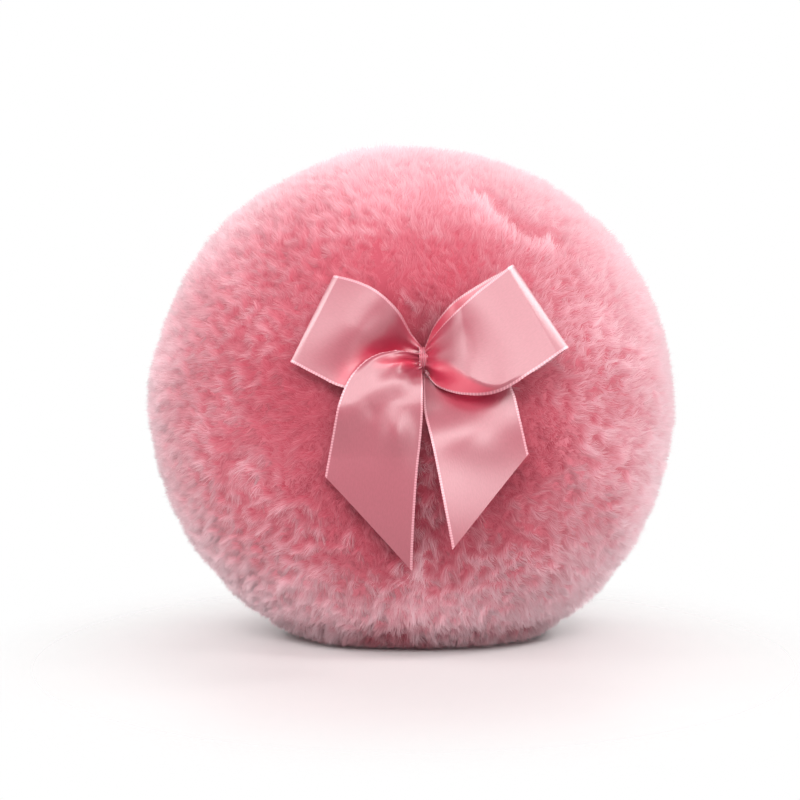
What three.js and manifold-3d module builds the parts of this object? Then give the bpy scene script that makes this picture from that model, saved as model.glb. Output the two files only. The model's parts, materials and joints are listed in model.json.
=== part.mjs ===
// A plush powder puff that stands on its edge, with a satin bow sewn into a tuft on the face turned to -Y.
// Millimetres, +Z up. The origin is the middle of the flat patch of pile that the puff stands on.
import * as THREE from "three";
import { mergeVertices } from "three/addons/utils/BufferGeometryUtils.js";
import Module from "manifold-3d";

const wasm = await Module();
wasm.setup();
const { clamp, degToRad, lerp, smoothstep } = THREE.MathUtils;

// The plush case
const PUFF_DIAMETER = 90; // across the tips of the pile
const PUFF_THICKNESS = 60; // over the tips of the pile, crown to crown
const PILE_HEIGHT = 10;
const BACKING = 1.2; // knitted cloth that the pile grows from
const SEAM_ALLOWANCE = 5; // edge of each panel that is turned in at the seam
const STITCH_INSET = 1.8; // seam stitches, in from the fold of the turned edge
const LEAN = degToRad(17); // the face with the bow looks up by this much
const FOOT_DEPTH = 4.5; // how far the pile is pressed flat where the puff stands
const CLEARANCE = 0.3; // between pieces that touch

// The tuft that the bow's stitches draw into the front face
const TUFT_DEPTH = 8; // at the tips of the pile
const TUFT_PULL = 3; // of the backing
const TUFT_SPREAD = 8;
const TUFT_RIGHT = 1.6; // from the middle of the face
const TUFT_UP = 2.6;
const TUFT_DRAG = 16; // how far round it the plush is dragged along

// Threads
const SEAM_THREAD = 0.4;
const BINDING_THREAD = 0.4;
const BINDING_TURNS = 2;
const BINDING_PITCH = 0.9;
const ANCHOR_THREAD = 0.8;
const ANCHOR_KNOT = 3.2;

// The ribbon and its pinched middle
const RIBBON_WIDTH = 16;
const RIBBON_THICKNESS = 0.4;
const RIBBON_LIFT = 0.9; // the lowest layer lies this far off the pile
const GATHER_LENGTH = 4.4;
const GATHER_HEIGHT = 5.2;
const GATHER_DEPTH = 3.8;
const GATHER_WAIST = 0.4; // drawn in by the binding, all round
const GATHER_PLEATS = 8;
const PLEAT_DEPTH = 0.25;
const SHOULDER_TUCK = 0.6; // how deep inside the gather's ends the shoulders start

// The bow's loops: how far the outer fold lies from the knot, which way, and how that fold is turned
const LEFT_LOOP = { reach: 19.3, direction: degToRad(160.6), fold: degToRad(64) };
const RIGHT_LOOP = { reach: 20.9, direction: degToRad(23.5), fold: degToRad(125.7) };
const LOOP_SWELL = 1.2; // half the air between a loop's layers, over what its fold gives
const LOOP_FOLD_RADIUS = 1;
const LOOP_ROOT_SPREAD = 0.45; // half the distance between a loop's layers at its root
const LOOP_ROOT_GAP = 1.4; // to the piece beside a root, which turns there
const LEFT_ROOT_LENGTH = 15.5;
const LEFT_ROOT_SLOPE = degToRad(32);
const LOOP_STAGGER = 0.8; // the back layer shows this far above the front one
const LOOP_SHOULDER = 3.5; // roundness of a loop's edges, where they open from the gather
const LOOP_PLEAT = 0.4; // of the folds that run out from the gather
const LOOP_PLEATS = 2;

// The bow's tails: from the crease where they turn down to the middle of the slanted cut end
const LEFT_TAIL = { length: 20.7, direction: degToRad(264) };
const RIGHT_TAIL = { length: 18, direction: degToRad(283) };
const TAIL_SLANT = 13; // inner edge of the cut end beyond its outer edge
const TAIL_ROOT_WIDTH = 12.8;
const TAIL_GAP = 0.9; // between the two tails
const CREASE_DROP = 6.5; // of the crease below the knot
const CREASE_GAP = 0.35;
const SHOULDER_SWELL = 1.2; // of the ribbon that crosses over the left loop
const TAIL_CURL = 0.9; // of a tail's edges, off the pile
const TAIL_FOLD = 0.5; // of the long soft folds down a tail
const TAIL_FOLDS = 1.5;

// Facets
const PANEL_SEGMENTS = 40;
const PILE_STEPS = 14;
const LINING_STEPS = 8;
const FILLING_SEGMENTS = 32;
const THREAD_SIDES = 6;
const TURN_STEPS = 16; // of the binding, in each turn
const LOOP_ROWS = 20;
const LOOP_COLUMNS = 10;
const SHOULDER_ROWS = 10;
const TAIL_ROWS = 12;
const TAIL_COLUMNS = 10;

// Heights over the middle plane of the puff, at a distance r from its axis
const PILE_RADIUS = PUFF_DIAMETER / 2;
const PILE_CROWN = PUFF_THICKNESS / 2;
const LINING_RADIUS = PILE_RADIUS - PILE_HEIGHT - BACKING;
const LINING_CROWN = PILE_CROWN - PILE_HEIGHT - BACKING;
const dome = (r, radius, crown) => crown * Math.sqrt(Math.max(0, 1 - (r / radius) ** 2));
const tuft = (r) => Math.exp(-((r / TUFT_SPREAD) ** 2));
const frontPile = (r) => dome(r, PILE_RADIUS, PILE_CROWN) - TUFT_DEPTH * tuft(r);
const rearPile = (r) => dome(r, PILE_RADIUS, PILE_CROWN);
const frontLining = (r) => dome(r, LINING_RADIUS, LINING_CROWN) - TUFT_PULL * tuft(r);
const rearLining = (r) => dome(r, LINING_RADIUS, LINING_CROWN);

// Radii from the axis to an edge, closer together at both ends
function radii(edge, steps) {
  return Array.from({ length: steps + 1 }, (_, i) => edge * Math.sin((Math.PI / 2) * (i / steps) ** 1.2));
}

// The distance at which a dome comes down to a height
const reach = (height, radius, crown) => radius * Math.sqrt(1 - (height / crown) ** 2);

// A ring or disc turned about the face's axis, which is +Z in the face's own frame
function turned(profile, segments) {
  return new THREE.LatheGeometry(profile, segments).rotateX(Math.PI / 2);
}

function toSolid(geometry) {
  const bare = geometry.clone();
  bare.deleteAttribute("normal");
  bare.deleteAttribute("uv");
  const merged = mergeVertices(bare, 1e-4);
  return new wasm.Manifold(
    new wasm.Mesh({
      numProp: 3,
      vertProperties: new Float32Array(merged.attributes.position.array),
      triVerts: new Uint32Array(merged.index.array),
    }),
  );
}

function toGeometry(solid) {
  const mesh = solid.getMesh();
  const geometry = new THREE.BufferGeometry();
  geometry.setAttribute("position", new THREE.BufferAttribute(mesh.vertProperties, 3));
  geometry.setIndex(new THREE.BufferAttribute(mesh.triVerts, 1));
  geometry.computeVertexNormals();
  return geometry;
}

// Moves each vertex of a geometry by a function that changes it in place
function reshape(geometry, move) {
  const position = geometry.attributes.position;
  const point = new THREE.Vector3();
  for (let i = 0; i < position.count; i++) {
    point.fromBufferAttribute(position, i);
    move(point);
    position.setXYZ(i, point.x, point.y, point.z);
  }
  return geometry;
}

// The share of the tuft's offset that reaches a point of the front
const tuftDrag = (x, y) => Math.exp(-(x * x + y * y) / TUFT_DRAG ** 2);

function dragToTuft(point) {
  if (point.z <= 0) return;
  const share = tuftDrag(point.x, point.y);
  point.x += TUFT_RIGHT * share;
  point.y += TUFT_UP * share;
}

// Height of the front pile at a place measured from the knot
function pileUnder(x, y) {
  let across = x;
  let up = y;
  for (let pass = 0; pass < 4; pass++) {
    const share = tuftDrag(across, up);
    across = x + TUFT_RIGHT * (1 - share);
    up = y + TUFT_UP * (1 - share);
  }
  return frontPile(Math.hypot(across, up));
}

// The face's own frame: +X right, +Y up the face, +Z out of it
const LOWEST = Math.hypot(PILE_RADIUS * Math.cos(LEAN), PILE_CROWN * Math.sin(LEAN));
const FACE_HEIGHT = LOWEST - FOOT_DEPTH;
const FOOT_SHIFT = ((PILE_RADIUS ** 2 - PILE_CROWN ** 2) * Math.sin(2 * LEAN)) / (2 * LOWEST ** 2);
const face = new THREE.Group();
face.position.set(0, FOOT_SHIFT * FACE_HEIGHT, FACE_HEIGHT);
face.rotation.x = Math.PI / 2 - LEAN;
face.updateMatrix();

const plush = new THREE.MeshStandardMaterial({ color: "#e29aa7", roughness: 0.95, metalness: 0 });
const fibre = new THREE.MeshStandardMaterial({ color: "#f3eeea", roughness: 1, metalness: 0 });
const satin = new THREE.MeshStandardMaterial({ color: "#e0a2ab", roughness: 0.45, metalness: 0 });
const cotton = new THREE.MeshStandardMaterial({ color: "#c8707d", roughness: 0.8, metalness: 0 });

const puff = new THREE.Group();
puff.add(face);

function addNode(parent, name, geometry, material) {
  const mesh = new THREE.Mesh(geometry, material.clone());
  mesh.name = name;
  parent.add(mesh);
}

// Plush panels: backing and pile in one shell, with its edge turned in at the seam round the stitches
const SEAM_FACE = CLEARANCE / 2;
const FLANGE_TOP = SEAM_FACE + BACKING;
const FLANGE_RADIUS = LINING_RADIUS - SEAM_ALLOWANCE;
const STITCH_RADIUS = LINING_RADIUS - STITCH_INSET;
const GROOVE = SEAM_THREAD / 2 + CLEARANCE;
const ANCHOR_HOLE = ANCHOR_THREAD / 2 + CLEARANCE;

function panel(pile, lining, hole) {
  const flangeCorner = reach(FLANGE_TOP, LINING_RADIUS, LINING_CROWN);
  const inside = radii(flangeCorner, LINING_STEPS).slice(1, -1);
  const outside = radii(PILE_RADIUS, PILE_STEPS).slice(1, -1).reverse();
  const profile = [
    [hole, lining(hole)],
    ...inside.map((r) => [r, lining(r)]),
    [flangeCorner, FLANGE_TOP],
    [FLANGE_RADIUS, FLANGE_TOP],
    [FLANGE_RADIUS, SEAM_FACE],
    [STITCH_RADIUS - GROOVE, SEAM_FACE],
    [STITCH_RADIUS - GROOVE, GROOVE],
    [STITCH_RADIUS + GROOVE, GROOVE],
    [STITCH_RADIUS + GROOVE, SEAM_FACE],
    [PILE_RADIUS, SEAM_FACE],
    ...outside.map((r) => [r, pile(r)]),
    [hole, pile(hole)],
  ];
  if (hole > 0) profile.push(profile[0]);
  return turned(profile.map(([r, height]) => new THREE.Vector2(r, height)), PANEL_SEGMENTS);
}

// The part of a panel above the surface that the puff stands on
function standing(geometry) {
  const below = new THREE.BoxGeometry(2 * PUFF_DIAMETER, 2 * PUFF_DIAMETER, PUFF_DIAMETER);
  below.translate(0, 0, -PUFF_DIAMETER / 2);
  return toGeometry(toSolid(geometry.applyMatrix4(face.matrix)).subtract(toSolid(below)));
}

const frontPanel = reshape(panel(frontPile, frontLining, ANCHOR_HOLE), dragToTuft);
const rearPanel = panel(rearPile, rearLining, 0).rotateX(Math.PI);
addNode(puff, "front_plush_panel", standing(frontPanel), plush);
addNode(puff, "rear_plush_panel", standing(rearPanel), plush);
const seam = new THREE.TorusGeometry(STITCH_RADIUS, SEAM_THREAD / 2, THREAD_SIDES, PANEL_SEGMENTS);
addNode(face, "seam_thread", seam, cotton);

// Fibre filling, clear of the turned-in edges and of the knot behind the tuft
const KNOT_CENTRE = frontLining(0) - CLEARANCE - ANCHOR_KNOT / 2;
const POCKET_RADIUS = ANCHOR_KNOT / 2 + CLEARANCE;
const POCKET_FLOOR = KNOT_CENTRE - POCKET_RADIUS;

function filling() {
  const radius = LINING_RADIUS - CLEARANCE;
  const crown = LINING_CROWN - CLEARANCE;
  const rim = FLANGE_TOP + CLEARANCE;
  const edge = reach(rim, radius, crown);
  const steps = radii(edge, LINING_STEPS);
  const front = (r) => dome(r, radius, crown) - TUFT_PULL * tuft(r);
  const profile = [
    ...steps.map((r) => [r, -dome(r, radius, crown)]),
    [FLANGE_RADIUS - CLEARANCE, -rim],
    [FLANGE_RADIUS - CLEARANCE, rim],
    ...steps.filter((r) => r > POCKET_RADIUS).reverse().map((r) => [r, front(r)]),
    [POCKET_RADIUS, front(POCKET_RADIUS)],
    [POCKET_RADIUS, POCKET_FLOOR],
    [0, POCKET_FLOOR],
  ];
  const points = profile.map(([r, height]) => new THREE.Vector2(r, height));
  return reshape(turned(points, FILLING_SEGMENTS), dragToTuft);
}

addNode(face, "fibre_filling", filling(), fibre);

// The bow's frame: its origin is on the tuft's axis, at the puff's middle plane
const bow = new THREE.Group();
bow.position.set(TUFT_RIGHT, TUFT_UP, 0);
face.add(bow);

const WINDING_REACH = CLEARANCE + BINDING_THREAD - GATHER_WAIST;
const GATHER_CENTRE =
  CLEARANCE +
  GATHER_DEPTH / 2 +
  Math.max(frontPile(0) + WINDING_REACH, frontPile(GATHER_LENGTH / 2) + PLEAT_DEPTH);

// Anchor thread: up through the panel's backing and pile from a knot that lies behind them
function anchorThread() {
  const top = GATHER_CENTRE - GATHER_DEPTH / 2 - WINDING_REACH - CLEARANCE;
  const knot = ANCHOR_KNOT / 2;
  const neck = Math.asin(ANCHOR_THREAD / ANCHOR_KNOT);
  const profile = [];
  for (let i = 0; i <= 8; i++) {
    const turn = lerp(-Math.PI / 2, Math.PI / 2 - neck, i / 8);
    profile.push(new THREE.Vector2(i ? knot * Math.cos(turn) : 0, KNOT_CENTRE + knot * Math.sin(turn)));
  }
  profile.push(new THREE.Vector2(ANCHOR_THREAD / 2, top));
  profile.push(new THREE.Vector2(0, top));
  return turned(profile, 12);
}

addNode(bow, "anchor_thread", anchorThread(), cotton);

// Gather: the ribbon's layers pinched into pleats, with a waist for the binding
const WAIST_HALF = (BINDING_TURNS * BINDING_PITCH + BINDING_THREAD) / 2 + CLEARANCE;

function gatherCore() {
  const half = GATHER_LENGTH / 2;
  const stations = [-half, -WAIST_HALF, -WAIST_HALF / 3, WAIST_HALF / 3, WAIST_HALF, half];
  const profile = [-half, ...stations, half].map((x, i, all) => {
    const onAxis = i === 0 || i === all.length - 1;
    return new THREE.Vector2(onAxis ? 0 : 1, x);
  });
  const core = new THREE.LatheGeometry(profile, 4 * GATHER_PLEATS).rotateZ(-Math.PI / 2);
  return reshape(core, (point) => {
    const open = clamp((Math.abs(point.x) - WAIST_HALF) / (half - WAIST_HALF), 0, 1);
    const angle = Math.atan2(point.z, point.y);
    const size = Math.hypot(point.y, point.z);
    const pleat = PLEAT_DEPTH * open * Math.cos(GATHER_PLEATS * angle);
    const inset = GATHER_WAIST * (1 - open) - pleat;
    point.y = size * (GATHER_HEIGHT / 2 - inset) * Math.cos(angle);
    point.z = size * (GATHER_DEPTH / 2 - inset) * Math.sin(angle) + GATHER_CENTRE;
  });
}

// A closed sheet of ribbon over surface(u, v), half its thickness to each side
function sheet(surface, along, across) {
  const step = 1e-3;
  const positions = [];
  for (const side of [1, -1]) {
    for (let i = 0; i <= along; i++) {
      for (let j = 0; j <= across; j++) {
        const u = clamp(i / along, step, 1 - step);
        const v = clamp(j / across, step, 1 - step);
        const down = surface(u + step, v).sub(surface(u - step, v));
        const over = surface(u, v + step).sub(surface(u, v - step));
        const offset = down.cross(over).setLength((side * RIBBON_THICKNESS) / 2);
        positions.push(...surface(i / along, j / across).add(offset));
      }
    }
  }
  const row = across + 1;
  const back = (along + 1) * row;
  const index = [];
  const quad = (a, b, c, d) => index.push(a, b, c, a, c, d);
  for (let i = 0; i < along; i++) {
    for (let j = 0; j < across; j++) {
      const at = i * row + j;
      quad(at, at + row, at + row + 1, at + 1);
      quad(back + at, back + at + 1, back + at + row + 1, back + at + row);
    }
  }
  for (let i = 0; i < along; i++) {
    const near = i * row;
    const far = near + across;
    quad(near, back + near, back + near + row, near + row);
    quad(far, far + row, back + far + row, back + far);
  }
  for (let j = 0; j < across; j++) {
    const end = along * row + j;
    quad(j, j + 1, back + j + 1, back + j);
    quad(end, back + end, back + end + 1, end + 1);
  }
  const geometry = new THREE.BufferGeometry();
  geometry.setAttribute("position", new THREE.Float32BufferAttribute(positions, 3));
  geometry.setIndex(index);
  geometry.computeVertexNormals();
  return geometry;
}

const flat = (x, y) => new THREE.Vector2(x, y);
const polar = (length, angle) => flat(length * Math.cos(angle), length * Math.sin(angle));
const curve = (...points) => new THREE.CubicBezierCurve(...points);

// Height of the crease where both tails turn down: a straight line over the highest pile round the tuft
const HIGHEST_PILE = Math.max(...radii(PILE_RADIUS, 60).map(frontPile));
const CREASE_HEIGHT = HIGHEST_PILE + RIBBON_LIFT;
const SHOULDER_START = GATHER_LENGTH / 2 - SHOULDER_TUCK;
const CREASE_INNER = TAIL_GAP / 2;
const CREASE_OUTER = CREASE_INNER + TAIL_ROOT_WIDTH;
const SHOULDER_END = CREASE_GAP - CREASE_DROP;

// Shoulders: the ribbon between the gather and the tails' crease, the left one over the left loop's root
const leftShoulderOuter = curve(
  flat(-SHOULDER_START, GATHER_HEIGHT * 0.27),
  flat(-SHOULDER_START - TAIL_ROOT_WIDTH * 0.38, GATHER_HEIGHT * 0.5),
  flat(-CREASE_OUTER * 0.91, -CREASE_DROP * 0.12),
  flat(-CREASE_OUTER, SHOULDER_END),
);
const rightShoulderOuter = curve(
  flat(SHOULDER_START, -GATHER_HEIGHT * 0.04),
  flat(SHOULDER_START + TAIL_ROOT_WIDTH * 0.37, -GATHER_HEIGHT * 0.04),
  flat(CREASE_OUTER * 0.91, -CREASE_DROP * 0.46),
  flat(CREASE_OUTER, SHOULDER_END),
);
const shoulderInner = (side) =>
  curve(
    flat(side * SHOULDER_START, -GATHER_HEIGHT * 0.35),
    flat(side * SHOULDER_START, -CREASE_DROP * 0.62),
    flat(side * SHOULDER_START * 0.8, -CREASE_DROP * 0.78),
    flat(side * CREASE_INNER, SHOULDER_END),
  );

const offPile = (x, y) => pileUnder(x, y) + RIBBON_LIFT;

function leftShoulder(u, v) {
  const place = leftShoulderOuter.getPoint(u).lerp(shoulderInner(-1).getPoint(u), v);
  const swell = SHOULDER_SWELL * Math.sin(Math.PI * u) * Math.cos((Math.PI / 2) * v);
  const height = lerp(GATHER_CENTRE, CREASE_HEIGHT, smoothstep(u, 0, 0.6)) + swell;
  return new THREE.Vector3(place.x, place.y, Math.max(height, offPile(place.x, place.y)));
}

// The right shoulder's height depends on the place alone, so that the right loop can lie on it
function rightShoulderHeight(x, y) {
  const low = GATHER_CENTRE - GATHER_DEPTH * 0.2;
  const fall = smoothstep(-y, GATHER_HEIGHT * 0.2, -SHOULDER_END);
  return Math.max(lerp(low, CREASE_HEIGHT, fall), offPile(x, y));
}

function rightShoulder(u, v) {
  const place = shoulderInner(1).getPoint(u).lerp(rightShoulderOuter.getPoint(u), v);
  return new THREE.Vector3(place.x, place.y, rightShoulderHeight(place.x, place.y));
}

const gather = toSolid(gatherCore())
  .add(toSolid(sheet(leftShoulder, SHOULDER_ROWS, TAIL_COLUMNS)))
  .add(toSolid(sheet(rightShoulder, SHOULDER_ROWS, TAIL_COLUMNS)));
addNode(bow, "bow_gather", toGeometry(gather), satin);

// Binding thread: an open winding round the gather's waist
function bindingThread() {
  const gap = CLEARANCE + BINDING_THREAD / 2 - GATHER_WAIST;
  const points = [];
  for (let i = 0; i <= BINDING_TURNS * TURN_STEPS; i++) {
    const turn = i / TURN_STEPS;
    const angle = 2 * Math.PI * turn;
    const y = (GATHER_HEIGHT / 2 + gap) * Math.cos(angle);
    const z = (GATHER_DEPTH / 2 + gap) * Math.sin(angle) + GATHER_CENTRE;
    points.push(new THREE.Vector3((turn - BINDING_TURNS / 2) * BINDING_PITCH, y, z));
  }
  let least = Infinity;
  points.forEach((point, i) => {
    const later = points.slice(i + TURN_STEPS / 2);
    later.forEach((other) => (least = Math.min(least, point.distanceTo(other) - BINDING_THREAD)));
  });
  console.log(`binding thread: ${least.toFixed(2)} mm between turns`);
  const corner = (_, k) => polar(BINDING_THREAD / 2, (2 * Math.PI * k) / THREAD_SIDES);
  const section = new THREE.Shape(Array.from({ length: THREAD_SIDES }, corner));
  const path = new THREE.CatmullRomCurve3(points);
  return new THREE.ExtrudeGeometry(section, { steps: points.length - 1, extrudePath: path });
}

addNode(bow, "bow_binding_thread", bindingThread(), cotton);

// Loops: one length of ribbon out along the back, round the outer fold and home along the front.
// Each runs between two edges in plan, from a straight root to its fold, and rests on floor(x, y).
const ROOT_HALF = LOOP_ROOT_SPREAD + RIBBON_THICKNESS / 2;

const FOLD_ROWS = 0.2; // share of a loop's rows that go round the outer fold
const ROOT_RUN = 0.3; // share of a loop's reach in which it leaves its root's height

function loop({ lower, upper, rootLow, rootHigh, floor, reach: length }) {
  const foldShare = LOOP_FOLD_RADIUS / length;
  return (u, v) => {
    const layer = clamp((2 * u - 1) / FOLD_ROWS, -1, 1);
    const run = clamp((1 - Math.abs(2 * u - 1)) / (1 - FOLD_ROWS), 0, 1);
    const share = run * (1 - foldShare) + foldShare * Math.cos((Math.PI / 2) * layer);
    const side = Math.sin((Math.PI / 2) * layer);
    const place = lower.getPoint(share).lerp(upper.getPoint(share), v);
    const bulge = Math.sin(Math.PI * share);
    place.y -= side * LOOP_STAGGER * bulge * v;
    const half = lerp(LOOP_ROOT_SPREAD, LOOP_FOLD_RADIUS, share) + LOOP_SWELL * bulge;
    const pleat = LOOP_PLEAT * bulge * (1 - share) * (1 + Math.cos(2 * Math.PI * LOOP_PLEATS * v));
    const rest = floor(place.x, place.y) + RIBBON_THICKNESS / 2 + half + pleat;
    const leaving = lerp(lerp(rootLow, rootHigh, v), rest, smoothstep(share, 0, ROOT_RUN));
    return new THREE.Vector3(place.x, place.y, Math.max(leaving, rest) + side * half);
  };
}

const foldCorner = ({ reach: length, direction, fold }, end) =>
  polar(length, direction).add(polar((end * RIBBON_WIDTH) / 2, fold));

// The left loop's root runs along a straight line that just clears the left shoulder
const rootRun = polar(-1, LEFT_ROOT_SLOPE);
const rootNormal = flat(rootRun.y, -rootRun.x);
const shoulderReach = Math.max(...leftShoulderOuter.getPoints(40).map((point) => point.dot(rootNormal)));
const rootLine = shoulderReach + LOOP_ROOT_GAP;
const leftRootHigh = rootNormal.clone().multiplyScalar(rootLine);
leftRootHigh.addScaledVector(rootRun, (-GATHER_LENGTH / 2 - leftRootHigh.x) / rootRun.x);
const leftRootLow = leftRootHigh.clone().addScaledVector(rootRun, LEFT_ROOT_LENGTH);
const LEFT_ROOT_NEAR = Math.max(
  GATHER_CENTRE + GATHER_DEPTH / 2,
  offPile(leftRootHigh.x, leftRootHigh.y) + ROOT_HALF,
);
const LEFT_ROOT_FAR = HIGHEST_PILE + RIBBON_LIFT + ROOT_HALF;

const leftLow = foldCorner(LEFT_LOOP, -1);
const leftHigh = foldCorner(LEFT_LOOP, 1);
const leftLoop = loop({
  lower: curve(
    leftRootLow,
    leftRootLow.clone().lerp(leftLow, 1 / 3),
    leftRootLow.clone().lerp(leftLow, 2 / 3),
    leftLow,
  ),
  upper: curve(
    leftRootHigh,
    leftRootHigh.clone().add(flat(-LOOP_SHOULDER / 4, LOOP_SHOULDER)),
    leftHigh.clone().add(flat(LOOP_SHOULDER * 1.6, -LOOP_SHOULDER * 0.4)),
    leftHigh,
  ),
  rootLow: LEFT_ROOT_FAR,
  rootHigh: LEFT_ROOT_NEAR,
  floor: offPile,
  reach: LEFT_LOOP.reach,
});
addNode(bow, "bow_left_loop", sheet(leftLoop, LOOP_ROWS, LOOP_COLUMNS), satin);

// The right loop's root stands upright beside the gather, and the loop lies over the right shoulder
const RIGHT_ROOT_X = GATHER_LENGTH / 2 + LOOP_ROOT_GAP;
const RIGHT_ROOT_HEIGHT = GATHER_CENTRE + GATHER_DEPTH * 0.35;
const rightLow = foldCorner(RIGHT_LOOP, -1);
const rightHigh = foldCorner(RIGHT_LOOP, 1);
const rightLoop = loop({
  lower: curve(
    flat(RIGHT_ROOT_X, -GATHER_HEIGHT / 2),
    flat(RIGHT_ROOT_X + LOOP_SHOULDER * 0.7, -CREASE_DROP * 1.05),
    flat(rightLow.x - LOOP_SHOULDER * 2.4, -CREASE_DROP * 1.15),
    rightLow,
  ),
  upper: curve(
    flat(RIGHT_ROOT_X, GATHER_HEIGHT / 2),
    flat(RIGHT_ROOT_X + LOOP_SHOULDER / 3, GATHER_HEIGHT / 2 + LOOP_SHOULDER),
    rightHigh.clone().add(flat(-LOOP_SHOULDER * 1.4, -LOOP_SHOULDER * 1.3)),
    rightHigh,
  ),
  rootLow: RIGHT_ROOT_HEIGHT,
  rootHigh: RIGHT_ROOT_HEIGHT,
  floor: (x, y) => rightShoulderHeight(x, y) + RIBBON_THICKNESS / 2 + CLEARANCE,
  reach: RIGHT_LOOP.reach,
});
addNode(bow, "bow_right_loop", sheet(rightLoop, LOOP_ROWS, LOOP_COLUMNS), satin);

// Tails: from the crease down to a slanted cut end, lying on the pile with their edges curled off it
function tail({ length, direction }, side) {
  const axis = polar(1, direction);
  const outwards = flat(-side * axis.y, side * axis.x);
  const rootInner = flat(side * CREASE_INNER, -CREASE_DROP);
  const rootOuter = flat(side * CREASE_OUTER, -CREASE_DROP);
  const end = rootInner.clone().lerp(rootOuter, 0.5).addScaledVector(axis, length);
  const corner = (across, along) =>
    end.clone().addScaledVector(outwards, across).addScaledVector(axis, along);
  const endInner = corner(-RIBBON_WIDTH / 2, TAIL_SLANT / 2);
  const endOuter = corner(RIBBON_WIDTH / 2, -TAIL_SLANT / 2);
  return (u, v) => {
    const t = side < 0 ? 1 - v : v;
    const inner = rootInner.clone().lerp(endInner, u);
    const place = inner.lerp(rootOuter.clone().lerp(endOuter, u), t);
    const curl = TAIL_CURL * u * (2 * t - 1) ** 2;
    const fold = TAIL_FOLD * Math.sin(Math.PI * u) * (1 + Math.cos(2 * Math.PI * TAIL_FOLDS * t));
    const rest = offPile(place.x, place.y) + RIBBON_THICKNESS / 2 + curl + fold;
    return new THREE.Vector3(place.x, place.y, lerp(CREASE_HEIGHT, rest, smoothstep(u, 0, 0.5)));
  };
}

addNode(bow, "bow_left_tail", sheet(tail(LEFT_TAIL, -1), TAIL_ROWS, TAIL_COLUMNS), satin);
addNode(bow, "bow_right_tail", sheet(tail(RIGHT_TAIL, 1), TAIL_ROWS, TAIL_COLUMNS), satin);

export default puff;
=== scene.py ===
# %% [markdown]
# # A plush powder puff with a satin bow
# A powder puff is two discs of long-pile plush sewn together and filled with fibre.
# A ribbon, pinched in the middle, is sewn through the front and draws a dimple into the pile.
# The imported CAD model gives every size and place, and this lesson dresses it in pile, satin and thread.

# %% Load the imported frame
import json
import math

import bmesh
import bpy
import numpy as np
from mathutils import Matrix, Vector, noise
from mathutils.bvhtree import BVHTree
from mathutils.kdtree import KDTree


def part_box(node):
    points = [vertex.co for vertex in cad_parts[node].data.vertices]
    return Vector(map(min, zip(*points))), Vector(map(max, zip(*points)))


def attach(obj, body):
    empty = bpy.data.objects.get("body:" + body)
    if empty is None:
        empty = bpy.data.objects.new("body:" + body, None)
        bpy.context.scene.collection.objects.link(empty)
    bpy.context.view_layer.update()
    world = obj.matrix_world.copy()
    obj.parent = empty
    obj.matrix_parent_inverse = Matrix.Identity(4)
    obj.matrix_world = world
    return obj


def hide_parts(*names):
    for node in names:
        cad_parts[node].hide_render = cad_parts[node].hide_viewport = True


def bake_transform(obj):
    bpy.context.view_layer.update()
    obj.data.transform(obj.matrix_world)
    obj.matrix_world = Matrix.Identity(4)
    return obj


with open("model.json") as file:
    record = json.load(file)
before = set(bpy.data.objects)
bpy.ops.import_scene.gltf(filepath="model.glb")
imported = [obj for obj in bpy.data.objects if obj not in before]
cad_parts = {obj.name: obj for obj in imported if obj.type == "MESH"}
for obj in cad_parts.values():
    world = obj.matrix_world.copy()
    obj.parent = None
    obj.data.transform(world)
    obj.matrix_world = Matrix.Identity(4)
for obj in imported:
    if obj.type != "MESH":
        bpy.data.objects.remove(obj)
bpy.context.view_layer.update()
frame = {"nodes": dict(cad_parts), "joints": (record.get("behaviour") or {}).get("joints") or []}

# %% [markdown]
# The puff leans back, so its shapes are easier to write in the face's own frame: right, up the face
# and out of it, in millimetres from the middle of the puff. The bow's swivel gives the way out of
# the face and the knot, and the ring of seam thread gives the middle. One function brings points back.

# %% The face's own frame
MM = 0.001
joints = {joint["name"]: joint for joint in frame["joints"]}
OUT = np.array(joints["bow_swivel"]["axis"])
RIGHT = np.array((1.0, 0.0, 0.0))
UP = np.cross(OUT, RIGHT)
FACE = np.array((RIGHT, UP, OUT))
seam_low, seam_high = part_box("seam_thread")
MIDDLE = np.array((seam_low + seam_high) / 2)


def from_face(points):
    return MIDDLE + (np.asarray(points) * MM) @ FACE


def to_face(points):
    return (np.asarray(points) - MIDDLE) @ FACE.T / MM


KNOT = to_face(joints["bow_swivel"]["pos_m"])
print("knot in the face's frame, mm:", KNOT.round(2))

# %% [markdown]
# The tips of the pile make a flattened ball with a dimple where the bow pulls. A direction from the
# middle and a depth below the tips name any place in the pile, so roots, tips and the cloth
# under them all come from one function, and the bow can ask how high the pile stands below it.

# %% The shape of the pile
panel_low, panel_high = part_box("front_plush_panel")
PILE_RADIUS = (panel_high.x - panel_low.x) / 2 / MM
rear_panel = frame["nodes"]["rear_plush_panel"].data
PILE_CROWN = -min(to_face(vertex.co)[2] for vertex in rear_panel.vertices)
DIMPLE_DEPTH = 8.0
DIMPLE_SPREAD = 8.0
DIMPLE_DRAG = 16.0
DIMPLE_FADE = 18.0  # below the tips, where the dimple ends


def unit(vectors):
    return vectors / np.linalg.norm(vectors, axis=-1, keepdims=True)


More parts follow.
